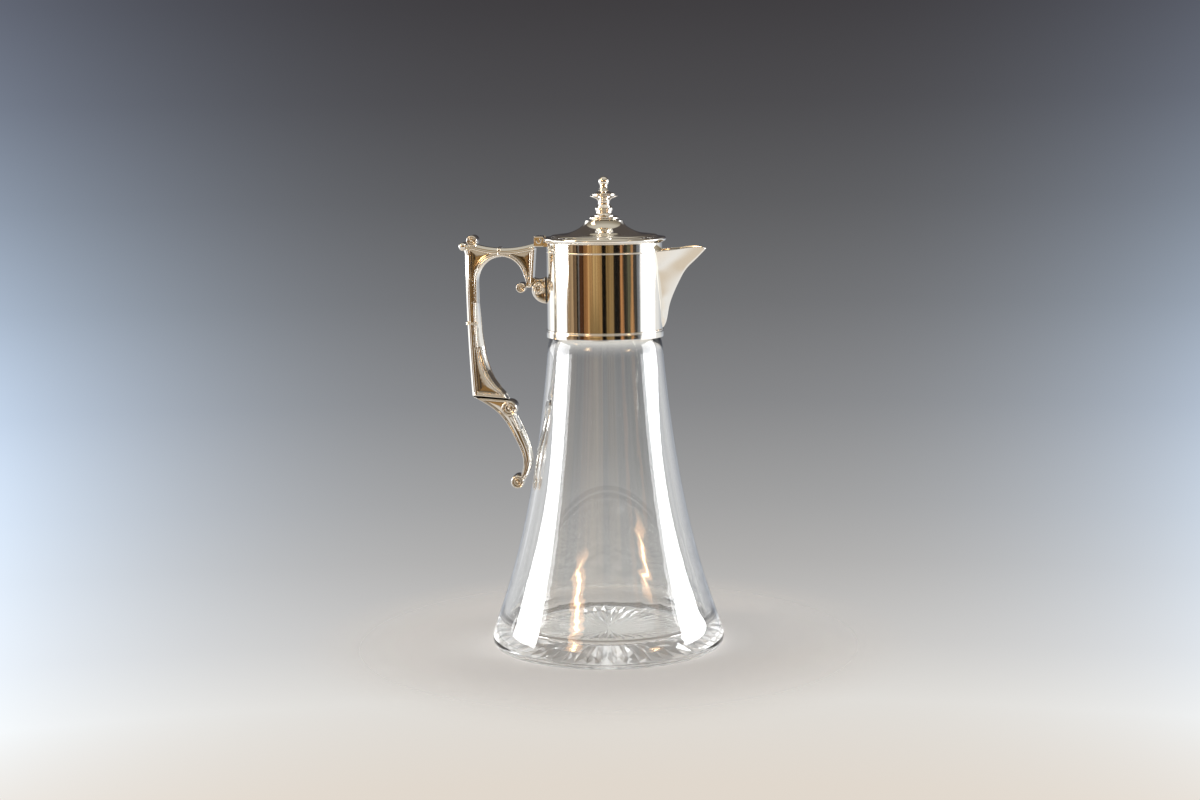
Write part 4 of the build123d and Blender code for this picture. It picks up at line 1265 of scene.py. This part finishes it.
@dataclass
class Lid:
    """Spun trumpet-shaped cover with a reeded rim and an inner ring."""

    collar_r: float = 35.6
    collar_top: float = 249.8
    seat_gap: float = 0.1
    wall: float = 1.0
    bore: float = 1.5
    slope: tuple[Point, ...] = ((0.9, 3.6), (7.4, 4.9), (14.8, 6.3), (20.1, 8.7), (22.7, 10.8), (23.9, 13.5))
    rim_inner_drop: float = 3.0
    rim: tuple[Point, ...] = ((-0.2, 0.0), (0.95, 0.75), (-0.5, 1.4), (-0.3, 1.65), (2.3, 2.5), (0.6, 3.25))
    ridges: tuple[tuple[float, float, float], ...] = ((31.9, 0.8, 0.42), (28.6, 0.7, 0.22))
    notch_in: float = 0.3
    notch_half: float = 6.9
    ring_h: float = 3.6
    ring_wall: float = 0.9
    ring_clear: float = 1.9

    def slopes(self) -> tuple[np.ndarray, np.ndarray]:
        """The cover's outer and inner curves from the rim up."""
        outside = spline([(self.collar_r - d, self.collar_top + up) for d, up in self.slope], 170)
        along = np.gradient(outside, axis=0)
        length = np.linalg.norm(along, axis=1)
        inside = outside - np.stack([-along[:, 1], along[:, 0]], axis=1) / length[:, None] * -self.wall
        inside[-1] = inside[-1][0], self.collar_top + self.slope[-1][1] - self.wall
        for middle, half, rise in self.ridges:
            outside[:, 1] += rise * np.sqrt(np.clip(1 - ((outside[:, 0] - middle) / half) ** 2, 0, 1))
        return outside, inside

    def build(self, dresser: Dresser) -> None:
        """Makes and dresses the cover, its rim, its inner ring and the hinge leaf."""
        outside, inside = self.slopes()
        edge = outside[0]
        top = self.collar_top + self.slope[-1][1]
        cover = [tuple(p) for p in outside] + [(self.bore, top), (self.bore, top - self.wall)]
        cover += [tuple(p) for p in inside[::-1]] + [(edge[0], inside[0][1])]
        dresser.dress(lathe("lid_trumpet", cover, 288), "silver_smooth", Body.LID, Slot.SILVER, "lid_cover")
        dresser.dress(self.rim_mesh(outside, inside), "silver_smooth", Body.LID, Slot.SILVER, "lid_rim_moulding")
        outer, low = self.collar_r - self.ring_clear, self.collar_top + self.seat_gap
        ring = [(outer - self.ring_wall, low - self.ring_h), (outer, low - self.ring_h), (outer, low), (outer - self.ring_wall, low)]
        piece = lathe("lid_inner_ring", eased(ring, 0.25), 256)
        dresser.dress(piece, "silver_smooth", Body.LID, Slot.SILVER, "lid_bezel")
        dresser.keep("lid_leaf", "silver")

    def rim_mesh(self, outside: np.ndarray, inside: np.ndarray) -> bpy.types.Object:
        """The rim moulding, cut flat in front of the hinge."""
        low = self.collar_top + self.seat_gap
        beads = [(self.collar_r + out, low + up) for out, up in self.rim]
        inner = self.collar_r - self.rim_inner_drop
        section = [(inner, low)] + [tuple(p) for p in arc(*beads[:3], 7)] + [tuple(p) for p in arc(*beads[3:], 9)]
        section += [tuple(outside[0]), (outside[0][0], inside[0][1]), (inner, inside[0][1])]
        flat = -(self.collar_r - self.notch_in)
        limit = math.asin(self.notch_half / (self.collar_r + self.rim[4][0]))
        sides = np.linspace(-math.pi + limit, math.pi - limit, 281)
        notch = np.linspace(math.pi - limit, math.pi + limit, 9)[1:-1]
        angles = np.concatenate([sides, notch])
        profile = np.array(eased(section, 0.12))
        points = np.empty((len(profile), len(angles), 3))
        points[..., 0] = profile[:, :1] * np.cos(angles)
        points[..., 1] = profile[:, :1] * np.sin(angles)
        points[..., 2] = profile[:, 1:]
        points[:, len(sides) :, 0] = np.maximum(points[:, len(sides) :, 0], flat)
        faces = grid_faces(len(profile), len(angles), True, True)
        return make_piece("lid_rim_moulding_turned", points.reshape(-1, 3), faces)


@dataclass
class Finial:
    """Turned finial: base ring, baluster, saucer and ball, held by a stud and nut."""

    low: float = 263.3
    bore: float = 1.5
    ring_h: float = 2.5
    baluster: tuple[Point, ...] = ((5.9, 0.5), (4.75, 2.4), (5.45, 4.5), (3.7, 7.1), (3.5, 8.4), (3.95, 9.7), (5.9, 10.9))
    saucer: tuple[Point, ...] = (
        (5.9, 0.0),
        (7.3, 0.55),
        (8.8, 1.3),
        (8.6, 1.6),
        (7.5, 1.9),
        (7.0, 2.1),
        (7.33, 2.55),
        (6.9, 2.9),
        (4.6, 3.5),
        (3.3, 4.2),
        (3.05, 4.9),
    )
    ball_r: float = 3.15
    ball_neck_r: float = 2.15
    ball_neck_h: float = 2.95

    def build(self, dresser: Dresser) -> None:
        """Makes and dresses the four turned pieces and the fixings inside."""
        bore, low = self.bore, self.low
        ring = [(bore, low), (7.8, low)]
        ring += [tuple(p) for p in arc((7.8, low), (9.05, low + 1.1), (7.6, low + self.ring_h), 14)][1:]
        ring += [(bore, low + self.ring_h)]
        self.turn(dresser, "finial_ring_turned", ring, "finial_base_ring")
        low += self.ring_h
        side = [tuple(p) for p in spline([(r, low + h) for r, h in self.baluster], 60)]
        knop = [(bore, low), (self.baluster[0][0], low)] + side + [(bore, low + self.baluster[-1][1])]
        self.turn(dresser, "finial_knop_turned", knop, "finial_baluster")
        low += self.baluster[-1][1]
        disc = [(bore, low)] + [(r, low + h) for r, h in self.saucer] + [(bore, low + self.saucer[-1][1])]
        self.turn(dresser, "finial_disc_turned", eased(disc, 0.28, 5), "finial_saucer")
        low += self.saucer[-1][1]
        neck = low + self.ball_neck_h
        centre = neck + math.sqrt(self.ball_r**2 - self.ball_neck_r**2)
        start = math.atan2(neck - centre, self.ball_neck_r)
        turns = np.linspace(start, math.pi / 2, 28)
        round_side = [(self.ball_r * math.cos(t), centre + self.ball_r * math.sin(t)) for t in turns[:-1]]
        ball = [(bore, low), (3.0, low), (2.7, low + 0.6), (2.25, low + 1.5)] + round_side
        ball += [(0.0, centre + self.ball_r), (0.0, low + 2.7), (bore, low + 2.7)]
        self.turn(dresser, "finial_ball_turned", ball, "finial_ball")
        for node in ("finial_stud", "finial_washer", "finial_nut"):
            dresser.keep(node, "steel")

    @staticmethod
    def turn(dresser: Dresser, name: str, outline: Sequence[Point], node: str) -> None:
        """Makes one turned piece and dresses it."""
        dresser.dress(lathe(name, outline, 128), "silver_turned", Body.LID, Slot.SILVER, node)


@dataclass(frozen=True)
class Bead:
    """A round line along the edge of a casting."""

    middle: float
    half: float
    top: float
    rise: float

    def height(self, away: np.ndarray) -> np.ndarray:
        """How far it stands from the casting's middle plane, at each distance from its edge."""
        across = (away - self.middle) / self.half
        rise = self.rise * np.sqrt(np.clip(1 - across**2, 0, 1))
        return np.where(np.abs(across) <= 1, self.top - self.rise + rise, 0.0)


@dataclass
class Casting:
    """A flat casting with relief on both faces: bevelled sides, beads along its edges and a hollow field.

    The beads and the field of the inner edges are measured from where the bevel ends.
    """

    name: str
    half_width: float = 6.0
    outer_bevel: float = 2.2
    inner_bevel: float = 0.8
    outer_drop: float = 2.7
    roundness: float = 1.25
    step: float = 0.5
    outer_beads: tuple[Bead, ...] = (Bead(2.75, 0.75, 6.0, 0.5),)
    inner_beads: tuple[Bead, ...] = (Bead(0.6, 0.6, 6.0, 0.55), Bead(1.75, 0.5, 5.85, 0.5))
    groove: float = 5.3
    outer_field: float = 3.6
    inner_field: float = 2.4
    field: float = 4.6
    dish: float = 0.7

    def height(self, to_outer: np.ndarray, to_inner: np.ndarray, bevel: np.ndarray) -> np.ndarray:
        """Half the casting's width at points of its face.

        Args:
            to_outer: How far each point is from the outer edges.
            to_inner: How far each point is from the inner edges.
            bevel: How wide the bevel of the nearest inner edge is.

        Returns:
            The half width at each.
        """
        past = to_inner - bevel
        into_field = np.minimum(to_outer - self.outer_field, past - self.inner_field)
        hollow = self.field - self.dish * (1 - np.exp(-np.clip(into_field, 0, None) / 1.5))
        bank = np.clip(-into_field / 0.45, 0, 1)
        face = hollow + (self.groove - hollow) * bank
        for away, beads in ((to_outer, self.outer_beads), (past, self.inner_beads)):
            for bead in beads:
                face = np.maximum(face, bead.height(away))
        drops = ((1 - to_outer / self.outer_bevel, self.outer_drop), (1 - to_inner / bevel, self.half_width))
        for share, drop in drops:
            face = np.minimum(face, self.half_width - drop * np.clip(share, 0, 1) ** self.roundness)
        return np.maximum(face, 0.3)

    def shade(self, piece: bpy.types.Object, loop: np.ndarray, inwards: np.ndarray, lines: tuple[np.ndarray, ...]) -> None:
        """Gives the two faces the normals of the exact relief.

        Args:
            piece: The casting.
            loop: The points of its outline.
            inwards: The inward direction at each.
            lines: The outline's lines, as for the distances.
        """
        spots = np.array([v.co for v in piece.data.vertices]) / MM
        flat, number = np.unique(np.round(spots[:, [0, 2]], 4), axis=0, return_inverse=True)
        number = number.reshape(-1)
        away = np.abs(flat[:, None] - loop[None]).sum(2)
        flat = np.where(away.min(1)[:, None] < 0.02, flat + inwards[away.argmin(1)] * 0.06, flat)
        slopes = []
        for step in ((0.03, 0.0), (0.0, 0.03)):
            sides = []
            for sign in (1, -1):
                to_outer, to_inner, _, local = self.distances(flat + np.array(step) * sign, lines)
                sides.append(self.height(to_outer, to_inner, local))
            slopes.append(((sides[0] - sides[1]) / 0.06)[number])
        normals = np.stack([-slopes[0], np.sign(spots[:, 1]), -slopes[1]], axis=1)
        normals /= np.linalg.norm(normals, axis=1)[:, None]
        corners_of = np.zeros((len(piece.data.loops), 3))
        for polygon in piece.data.polygons:
            ids = list(polygon.vertices)
            if abs(np.sign(spots[ids, 1]).sum()) == len(ids):
                corners_of[polygon.loop_start : polygon.loop_start + len(ids)] = normals[ids]
        piece.data.normals_split_custom_set(corners_of.tolist())

    @staticmethod
    def outset(run: np.ndarray, swell: Sequence[Point]) -> tuple[np.ndarray, np.ndarray]:
        """An inner run moved out by its bevel.

        Args:
            run: The run.
            swell: How far it moves, as pairs of a share of its length and a distance.

        Returns:
            The moved run, and the distance at each point.
        """
        along = np.gradient(run, axis=0)
        along /= np.linalg.norm(along, axis=1)[:, None]
        at = np.concatenate([[0.0], np.cumsum(np.linalg.norm(np.diff(run, axis=0), axis=1))])
        pairs = np.array(swell)
        moved = np.interp(at / at[-1], pairs[:, 0], pairs[:, 1])
        return run + np.stack([along[:, 1], -along[:, 0]], axis=1) * moved[:, None], moved

    def mesh(self, outer: Sequence[np.ndarray], inner: Sequence[np.ndarray], swells: dict[int, Sequence[Point]]) -> bpy.types.Object:
        """The casting's mesh.

        Args:
            outer: The outer runs of its outline, in order, each ending where the next starts.
            inner: The inner runs, which close the outline.
            swells: For an inner run with a wide bevel, how far it stands out along its length.

        Returns:
            The casting.
        """
        runs = [evenly(r, self.step) for r in [*outer, *inner]]
        corner_points = np.concatenate([r[:-1] for r in runs])
        following = np.roll(corner_points, -1, axis=0)
        area = np.sum(corner_points[:, 0] * following[:, 1] - following[:, 0] * corner_points[:, 1]) / 2
        turn = 1.0 if area > 0 else -1.0
        bevels = [np.full(len(r), self.outer_bevel if i < len(outer) else self.inner_bevel) for i, r in enumerate(runs)]
        for i, swell in swells.items():
            k = len(outer) + i
            if turn > 0:
                runs[k], moved = self.outset(runs[k], swell)
            else:
                moved_run, moved = self.outset(runs[k][::-1], [(1 - s, d) for s, d in reversed(swell)])
                runs[k], moved = moved_run[::-1], moved[::-1]
            bevels[k] = np.maximum(moved, self.inner_bevel)
        loop = np.concatenate([r[:-1] for r in runs])
        bevel = np.concatenate([b[:-1] for b in bevels])
        is_outer = np.concatenate([np.full(len(r) - 1, i < len(outer)) for i, r in enumerate(runs)])
        lines = (loop, np.roll(loop, -1, axis=0), is_outer, bevel)
        inwards = self.inward(loop, turn)
        fill = [loop]
        on_bevel = [bevel * share for share in (0.03, 0.12, 0.28, 0.5, 0.75, 0.97)]
        for depth in on_bevel + [bevel + past for past in (0.08, 0.2, 0.33, 0.47, 0.6, 0.73, 0.87, 1.0, 1.12, 1.25, 1.37, 1.5, 1.75, 2.0, 2.25, 2.4, 2.6, 2.85, 3.2)]:
            moved = loop + inwards * depth[:, None]
            to_outer, to_inner, within, _ = self.distances(moved, lines)
            fill.append(moved[within & (np.minimum(to_outer, to_inner) > depth * 0.97)])
        low, high = loop.min(0), loop.max(0)
        mesh_x, mesh_z = np.meshgrid(np.arange(low[0], high[0], 0.7), np.arange(low[1], high[1], 0.7))
        inside = np.stack([mesh_x.ravel(), mesh_z.ravel()], axis=1)
        to_outer, to_inner, within, local = self.distances(inside, lines)
        clear = (to_outer > self.outer_bevel + 3.3) & (to_inner > local + 3.3)
        fill.append(inside[within & clear])
        flat = np.concatenate(fill)
        count = len(loop)
        edges = [(i, (i + 1) % count) for i in range(count)]
        got = delaunay_2d_cdt([Vector(p) for p in flat], edges, [], 0, 1e-5)
        flat = np.array([tuple(v) for v in got[0]])
        triangles = np.array([f for f in got[2] if len(f) == 3])
        triangles = triangles[self.distances(flat[triangles].mean(1), lines)[2]]
        to_outer, to_inner, _, local = self.distances(flat, lines)
        half = self.height(to_outer, to_inner, local)
        front = np.stack([flat[:, 0], -half, flat[:, 1]], axis=1)
        back = front * (1, -1, 1)
        total = len(flat)
        faces = [tuple(t) for t in triangles] + [tuple(total + t[::-1]) for t in triangles]
        faces += self.side_faces(triangles, total)
        piece = make_piece(self.name, np.concatenate([front, back]), faces, crease=50.0)
        self.shade(piece, loop, inwards, lines)
        return piece

    @staticmethod
    def side_faces(triangles: np.ndarray, total: int) -> list[tuple[int, ...]]:
        """Faces that join the two sheets along their open edges."""
        seen: dict[tuple[int, int], tuple[int, int]] = {}
        for triangle in triangles.tolist():
            for a, b in zip(triangle, triangle[1:] + triangle[:1], strict=True):
                key = (min(a, b), max(a, b))
                if key in seen:
                    del seen[key]
                else:
                    seen[key] = (a, b)
        return [(b, a, total + a, total + b) for a, b in seen.values()]

    @staticmethod
    def inward(loop: np.ndarray, turn: float) -> np.ndarray:
        """The inward direction at each point of the outline."""
        along = np.roll(loop, -1, axis=0) - np.roll(loop, 1, axis=0)
        along /= np.linalg.norm(along, axis=1)[:, None]
        return np.stack([-along[:, 1], along[:, 0]], axis=1) * turn

    @staticmethod
    def distances(points: np.ndarray, lines: tuple[np.ndarray, ...]) -> tuple[np.ndarray, ...]:
        """How far points are from the outline's two kinds of edge, and whether they are inside it.

        Args:
            points: The points.
            lines: The starts and ends of the outline's lines, whether each is an outer one, and their bevels.

        Returns:
            The distances to the outer and the inner edges, the test of being inside, and the bevel of the
            nearest inner edge.
        """
        start, end, is_outer, bevel = lines
        span = end - start
        length2 = (span**2).sum(1)
        out, square, within, local = [], [], [], []
        for chunk in np.array_split(points, max(1, len(points) // 1500)):
            offset = chunk[:, None, :] - start[None]
            t = np.clip((offset * span).sum(2) / length2, 0, 1)
            gap = np.linalg.norm(offset - t[..., None] * span, axis=2)
            out.append(gap[:, is_outer].min(1))
            square.append(gap[:, ~is_outer].min(1))
            local.append(bevel[~is_outer][gap[:, ~is_outer].argmin(1)])
            above = (start[None, :, 1] > chunk[:, None, 1]) != (end[None, :, 1] > chunk[:, None, 1])
            slope = np.where(np.abs(span[:, 1]) < 1e-12, 1e-12, span[:, 1])
            cross = start[:, 0] + (chunk[:, None, 1] - start[:, 1]) / slope * span[:, 0]
            within.append((above & (chunk[:, None, 0] < cross)).sum(1) % 2 == 1)
        return tuple(np.concatenate(part) for part in (out, square, within, local))


@dataclass
class Handle:
    """Cast scroll handle: grip with its arch and bar, tail, bracket, scrolls and ties."""

    vessel: GlassVessel
    collar_r: float = 35.6
    collar_top: float = 249.8
    top_scroll: tuple[float, float, float] = (45.6, -1.6, 3.4)
    corner_ball: tuple[float, float, float] = (51.5, 2.0, 2.5)
    hook_scroll: tuple[float, float, float] = (15.7, 27.4, 3.0)
    corner_volute: tuple[float, float, float] = (24.2, 102.1, 5.0)
    bracket_scroll: tuple[float, float, float] = (4.9, 27.7, 3.9)
    tail_scroll: tuple[float, float, float] = (8.1, 10.8, 4.2)
    heel: Point = (26.5, 92.7)
    heel_back: Point = (24.5, 96.8)
    corner: Point = (47.2, 94.9)
    tail_gap: float = 2.6
    tail_near_drop: float = 137.5

    def at(self, out: float, drop: float) -> Point:
        """A point of the XZ plane, from its distances off the collar's top edge."""
        return (-(self.collar_r + out), self.collar_top - drop)

    def tail_at(self, out: float, down: float) -> Point:
        """A point of the tail, from its distances off its nearest point to the glass."""
        nearest = float(self.vessel.radius(self.collar_top - self.tail_near_drop)) + self.tail_gap
        return self.at(nearest - self.collar_r + out, self.tail_near_drop + down)

    def grip_mesh(self) -> bpy.types.Object:
        """The grip, the arch over the finger window and the bar beside the collar."""
        at = self.at
        under_scroll, shoulder, arch_start = at(50.1, 6.9), at(51.5, 2.0), at(45.6, 0.1)
        bar_foot, spring_bar = at(8.9, 27.6), at(13.2, 23.8)
        turns = np.linspace(0, math.pi, 60)
        centre = at(28.2, 23.8)
        window = np.stack([centre[0] + 15.0 * np.cos(turns), centre[1] + 16.1 * np.sin(turns)], axis=1)
        knee = at(43.0, 50.9)
        outer = [
            arc(at(*self.corner), at(49.4, 50.9), under_scroll, 60),
            np.array([under_scroll, shoulder]),
            np.array([shoulder, arch_start]),
            arc(arch_start, at(28.9, 3.2), at(7.1, 0.3), 60),
        ]
        curve = bezier(knee, at(43.0, 70.9), at(38.5, 86.2), at(*self.heel), 60)
        inner = [
            np.array([at(7.1, 0.3), at(7.1, 2.2), bar_foot]),
            np.array([bar_foot, (spring_bar[0], bar_foot[1]), spring_bar]),
            np.concatenate([window, [knee], curve[1:]]),
            np.array([at(*self.heel), at(*self.heel_back)]),
            np.array([at(*self.heel_back), at(*self.corner)]),
        ]
        along_bar = ((0.0, 0.0), (0.12, 1.0), (0.9, 1.0), (1.0, 0.0))
        round_window = ((0.0, 0.0), (0.03, 0.9), (0.50, 1.0), (0.60, 1.9), (0.72, 3.1), (0.85, 2.8), (0.95, 1.7), (1.0, 0.0))
        return Casting("handle_grip_cast").mesh(outer, inner, {0: along_bar, 2: round_window})

    def tail_mesh(self) -> bpy.types.Object:
        """The lower scroll limb."""
        tail_at = self.tail_at
        out, down, radius = self.tail_scroll
        scroll_outer = tail_at(out - radius / 3, down - radius * 2 / 3)
        scroll_inner = tail_at(out - radius * 2 / 3, down + radius / 3)
        volute_out, volute_drop, volute_r = self.corner_volute
        under_volute = self.at(volute_out - volute_r / 2, volute_drop + volute_r / 2)
        corner, heel_back = self.at(*self.corner), self.at(*self.heel_back)
        outer = [spline([corner, tail_at(18.6, -31.1), tail_at(9.6, -16.6), tail_at(4.6, 0), scroll_outer], 120)]
        inner = [
            np.array([scroll_outer, scroll_inner]),
            spline([scroll_inner, tail_at(0, 0), tail_at(4.2, -17.6), under_volute], 100),
            np.array([under_volute, heel_back]),
            np.array([heel_back, corner]),
        ]
        casting = Casting(
            "handle_tail_cast",
            outer_bevel=0.6,
            inner_bevel=0.5,
            outer_beads=(Bead(0.85, 0.7, 6.0, 0.65),),
            inner_beads=(Bead(0.65, 0.55, 6.0, 0.55),),
            outer_field=1.6,
            inner_field=1.25,
            field=4.9,
            dish=-0.45,
        )
        swell = ((0.0, 0.0), (0.1, 0.4), (0.3, 1.5), (0.75, 2.1), (0.92, 1.3), (1.0, 0.0))
        return casting.mesh(outer, inner, {1: swell})

    def bracket_mesh(self) -> bpy.types.Object:
        """The scroll bracket between the bar and the collar."""
        at = self.at
        on_bar, bar_foot = at(8.4, 20.7), at(8.9, 27.6)
        top = arc(on_bar, at(3.6, 21.9), at(0.15, 20.5), 20)
        under = arc(at(0.15, 37.2), at(4.9, 35.9), at(9.3, 29.4), 30)
        inner = [
            top,
            np.array([at(0.15, 20.5), at(0.15, 37.2)]),
        ]
        outer = [under, np.array([at(9.3, 29.4), bar_foot]), np.array([bar_foot, on_bar])]
        beads = (Bead(1.7, 0.6, 5.5, 0.5),)
        casting = Casting("handle_bracket_cast", 5.5, 1.3, 0.6, outer_beads=beads, inner_beads=(), outer_field=2.3, inner_field=0.4, groove=4.8, field=4.4)
        return casting.mesh(outer, inner, {})

    def scroll(self, spot: tuple[float, float], radius: float, half: float) -> tuple[np.ndarray, list]:
        """A scroll: a turned roll across the casting, with a ring and an eye on each end.

        Args:
            spot: Its middle in the XZ plane.
            radius: Its radius.
            half: Half its length.

        Returns:
            Its points and faces.
        """
        across = np.linspace(1, 0, 64)

        def ring(middle: float, width: float, rise: float) -> np.ndarray:
            """A round ring on the face, in shares of the radius."""
            return rise * np.sqrt(np.clip(1 - ((across - middle) / width) ** 2, 0, 1))

        relief = np.maximum.reduce([ring(0.84, 0.16, 0.34), ring(0.50, 0.12, 0.24), ring(0.0, 0.24, 0.38), 0 * across])
        dense = np.stack([across * radius, half - 0.34 * radius + relief * radius], axis=1)
        r = radius
        section = np.concatenate([dense[::-1] * (1, -1), [[r, 0.0]], dense])
        steps = 48
        angles = np.arange(steps) * math.tau / steps
        points = np.empty((len(section), steps, 3))
        points[..., 0] = spot[0] + section[:, :1] * np.cos(angles)
        points[..., 1] = section[:, 1:]
        points[..., 2] = spot[1] + section[:, :1] * np.sin(angles)
        return points.reshape(-1, 3), grid_faces(len(section), steps, False, True)

    def ball(self, spot: tuple[float, float], radius: float, half: float) -> tuple[np.ndarray, list]:
        """A round-ended roll across the casting."""
        turns = np.linspace(0, math.pi / 2, 14)
        end = np.stack([radius * np.cos(turns), half - radius * 0.9 + radius * 0.9 * np.sin(turns)], axis=1)
        section = np.concatenate([end[::-1] * (1, -1), end])
        angles = np.arange(40) * math.tau / 40
        points = np.empty((len(section), 40, 3))
        points[..., 0] = spot[0] + section[:, :1] * np.cos(angles)
        points[..., 1] = section[:, 1:]
        points[..., 2] = spot[1] + section[:, :1] * np.sin(angles)
        return points.reshape(-1, 3), grid_faces(len(section), 40, False, True)

    def rosette(self, spot: tuple[float, float], radius: float, half: float) -> tuple[np.ndarray, list]:
        """Round petals on both ends of the bracket's scroll."""
        parts = []
        for side in (-1, 1):
            for k in range(6):
                turn = math.tau * k / 6
                x, z = spot[0] + 0.62 * radius * math.cos(turn), spot[1] + 0.62 * radius * math.sin(turn)
                spread = np.linspace(0, math.tau, 13)
                ring = [(x + 0.17 * radius * math.cos(t), side * half, z + 0.17 * radius * math.sin(t)) for t in spread[:-1]]
                parts.append(tube(ring, 0.14 * radius, closed=True, sides=8))
        return joined(parts)

    def tie(self, low: Point, high: Point, half: float) -> list[tuple[np.ndarray, list]]:
        """Two crossed wires bound round the casting.

        Args:
            low: One corner of the band that they fill, in the XZ plane.
            high: The other corner.
            half: Half the casting's width.

        Returns:
            The wires' points and faces.
        """
        (x0, z0), (x1, z1) = low, high
        across_x = abs(x1 - x0) > abs(z1 - z0)
        parts = []
        for flip in (False, True):
            path = []
            for t in np.linspace(0, math.tau, 41)[:-1]:
                c, s = math.cos(t), math.sin(t)
                over = np.sign(c) * abs(c) ** 0.35
                deep = np.sign(s) * abs(s) ** 0.35
                skew = (over if deep < 0 else -over) * (1 if flip else -1) * 0.5
                cx, cz = (x0 + x1) / 2, (z0 + z1) / 2
                wide, tall = abs(x1 - x0) / 2, abs(z1 - z0) / 2
                x = cx + (over * wide if across_x else skew * wide)
                z = cz + (skew * tall if across_x else over * tall)
                path.append((x, deep * half, z))
            parts.append(tube(path, 0.55, closed=True, sides=10))
        return parts

    def build(self, dresser: Dresser) -> None:
        """Makes and dresses the whole handle."""
        at = self.at
        rolls_on_grip = [(self.top_scroll, 6.2), (self.hook_scroll, 6.3), (self.corner_volute, 6.5)]
        scrolls = [self.scroll(at(*s[:2]), s[2], half) for s, half in rolls_on_grip]
        scrolls.append(self.ball(at(*self.corner_ball[:2]), self.corner_ball[2], 6.2))
        scrolls.append(self.scroll(self.tail_at(*self.tail_scroll[:2]), self.tail_scroll[2], 6.2))
        dresser.dress(self.grip_mesh(), "silver_cast", Body.JUG, Slot.SILVER, "handle_grip")
        dresser.dress(self.tail_mesh(), "silver_cast", Body.JUG, Slot.SILVER, "handle_tail")
        dresser.dress(self.bracket_mesh(), "silver_cast", Body.JUG, Slot.SILVER, "handle_bracket")
        rolls = make_piece("handle_scrolls", *joined(scrolls), crease=50.0)
        dresser.dress(rolls, "silver_cast", Body.JUG, Slot.SILVER, "handle_scroll_eyes")
        spot, radius = at(*self.bracket_scroll[:2]), self.bracket_scroll[2]
        parts = [self.scroll(spot, radius, 6.0), self.rosette(spot, radius, 6.0)]
        dresser.dress(make_piece("handle_rosette", *joined(parts), crease=50.0), "silver_cast", Body.JUG, Slot.SILVER)
        ties = self.tie(at(30.0, 8.0), at(27.8, 2.9), 6.1) + self.tie(at(50.0, 50.3), at(42.8, 48.1), 6.1)
        piece = make_piece("handle_ties", *joined(ties), crease=50.0)
        dresser.dress(piece, "silver_cast", Body.JUG, Slot.SILVER, "handle_bead_ties")


@dataclass
class Hinge:
    """Hinge block with its pin, framed and hung with a small swag on each cheek."""

    left: float = -42.5
    right: float = -36.9
    low: float = 247.9
    high: float = 253.6
    face: float = 6.5
    wire: float = 0.28

    def build(self, dresser: Dresser) -> None:
        """Keeps the block and pin and adds the ornament on the block's cheeks."""
        dresser.keep("hinge_block", "silver_cast")
        dresser.keep("hinge_pin", "steel")
        parts = []
        for side in (-1, 1):
            y = side * self.face
            frame = eased([(self.left, self.low), (self.right, self.low), (self.right, self.high), (self.left, self.high)], 0.5)
            parts.append(tube([(x, y, z) for x, z in frame], self.wire, closed=True, sides=8))
            turns = np.linspace(math.pi, math.tau, 15)
            middle, top = (self.left + self.right) / 2, self.high - 1.4
            swag = [(middle + 1.5 * math.cos(t), y, top + 2.6 * math.sin(t)) for t in turns]
            parts.append(tube(swag, self.wire * 1.2, sides=8))
        dresser.dress(make_piece("hinge_ornament", *joined(parts)), "silver_cast", Body.JUG, Slot.SILVER)


def main() -> None:
    """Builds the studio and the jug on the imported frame."""
    logging.basicConfig(level=logging.INFO, format="%(message)s")
    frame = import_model()
    Studio().build()
    finishes = {
        "glass": GlassFinish().build(),
        "silver": SilverFinish("silver_beak", wave_depth=1.2e-5).build(),
        "silver_smooth": SilverFinish("silver_spun", wave_depth=5e-6, tone=0.12).build(),
        "silver_turned": SilverFinish("silver_turned", wave_depth=0.0, tone=0.3).build(),
        # Cast silver: the strongest tarnish and painted shade in its hollows and sunk fields.
        "silver_cast": SilverFinish("silver_cast", tone=0.6, recess_tarnish_and_shade=0.85, roughness=0.05, wave_depth=3e-6, wave_scale=120.0).build(),
        "plaster": PlasterFinish().build(),
        "steel": SteelFinish().build(),
    }
    dresser = Dresser(frame["nodes"], finishes)
    vessel, spout = GlassVessel(), Spout()
    vessel.build(dresser)
    spout.build(dresser)
    Collar(spout).build(dresser)
    Handle(vessel).build(dresser)
    Hinge().build(dresser)
    Lid().build(dresser)
    Finial().build(dresser)


if __name__ == "__main__":
    main()
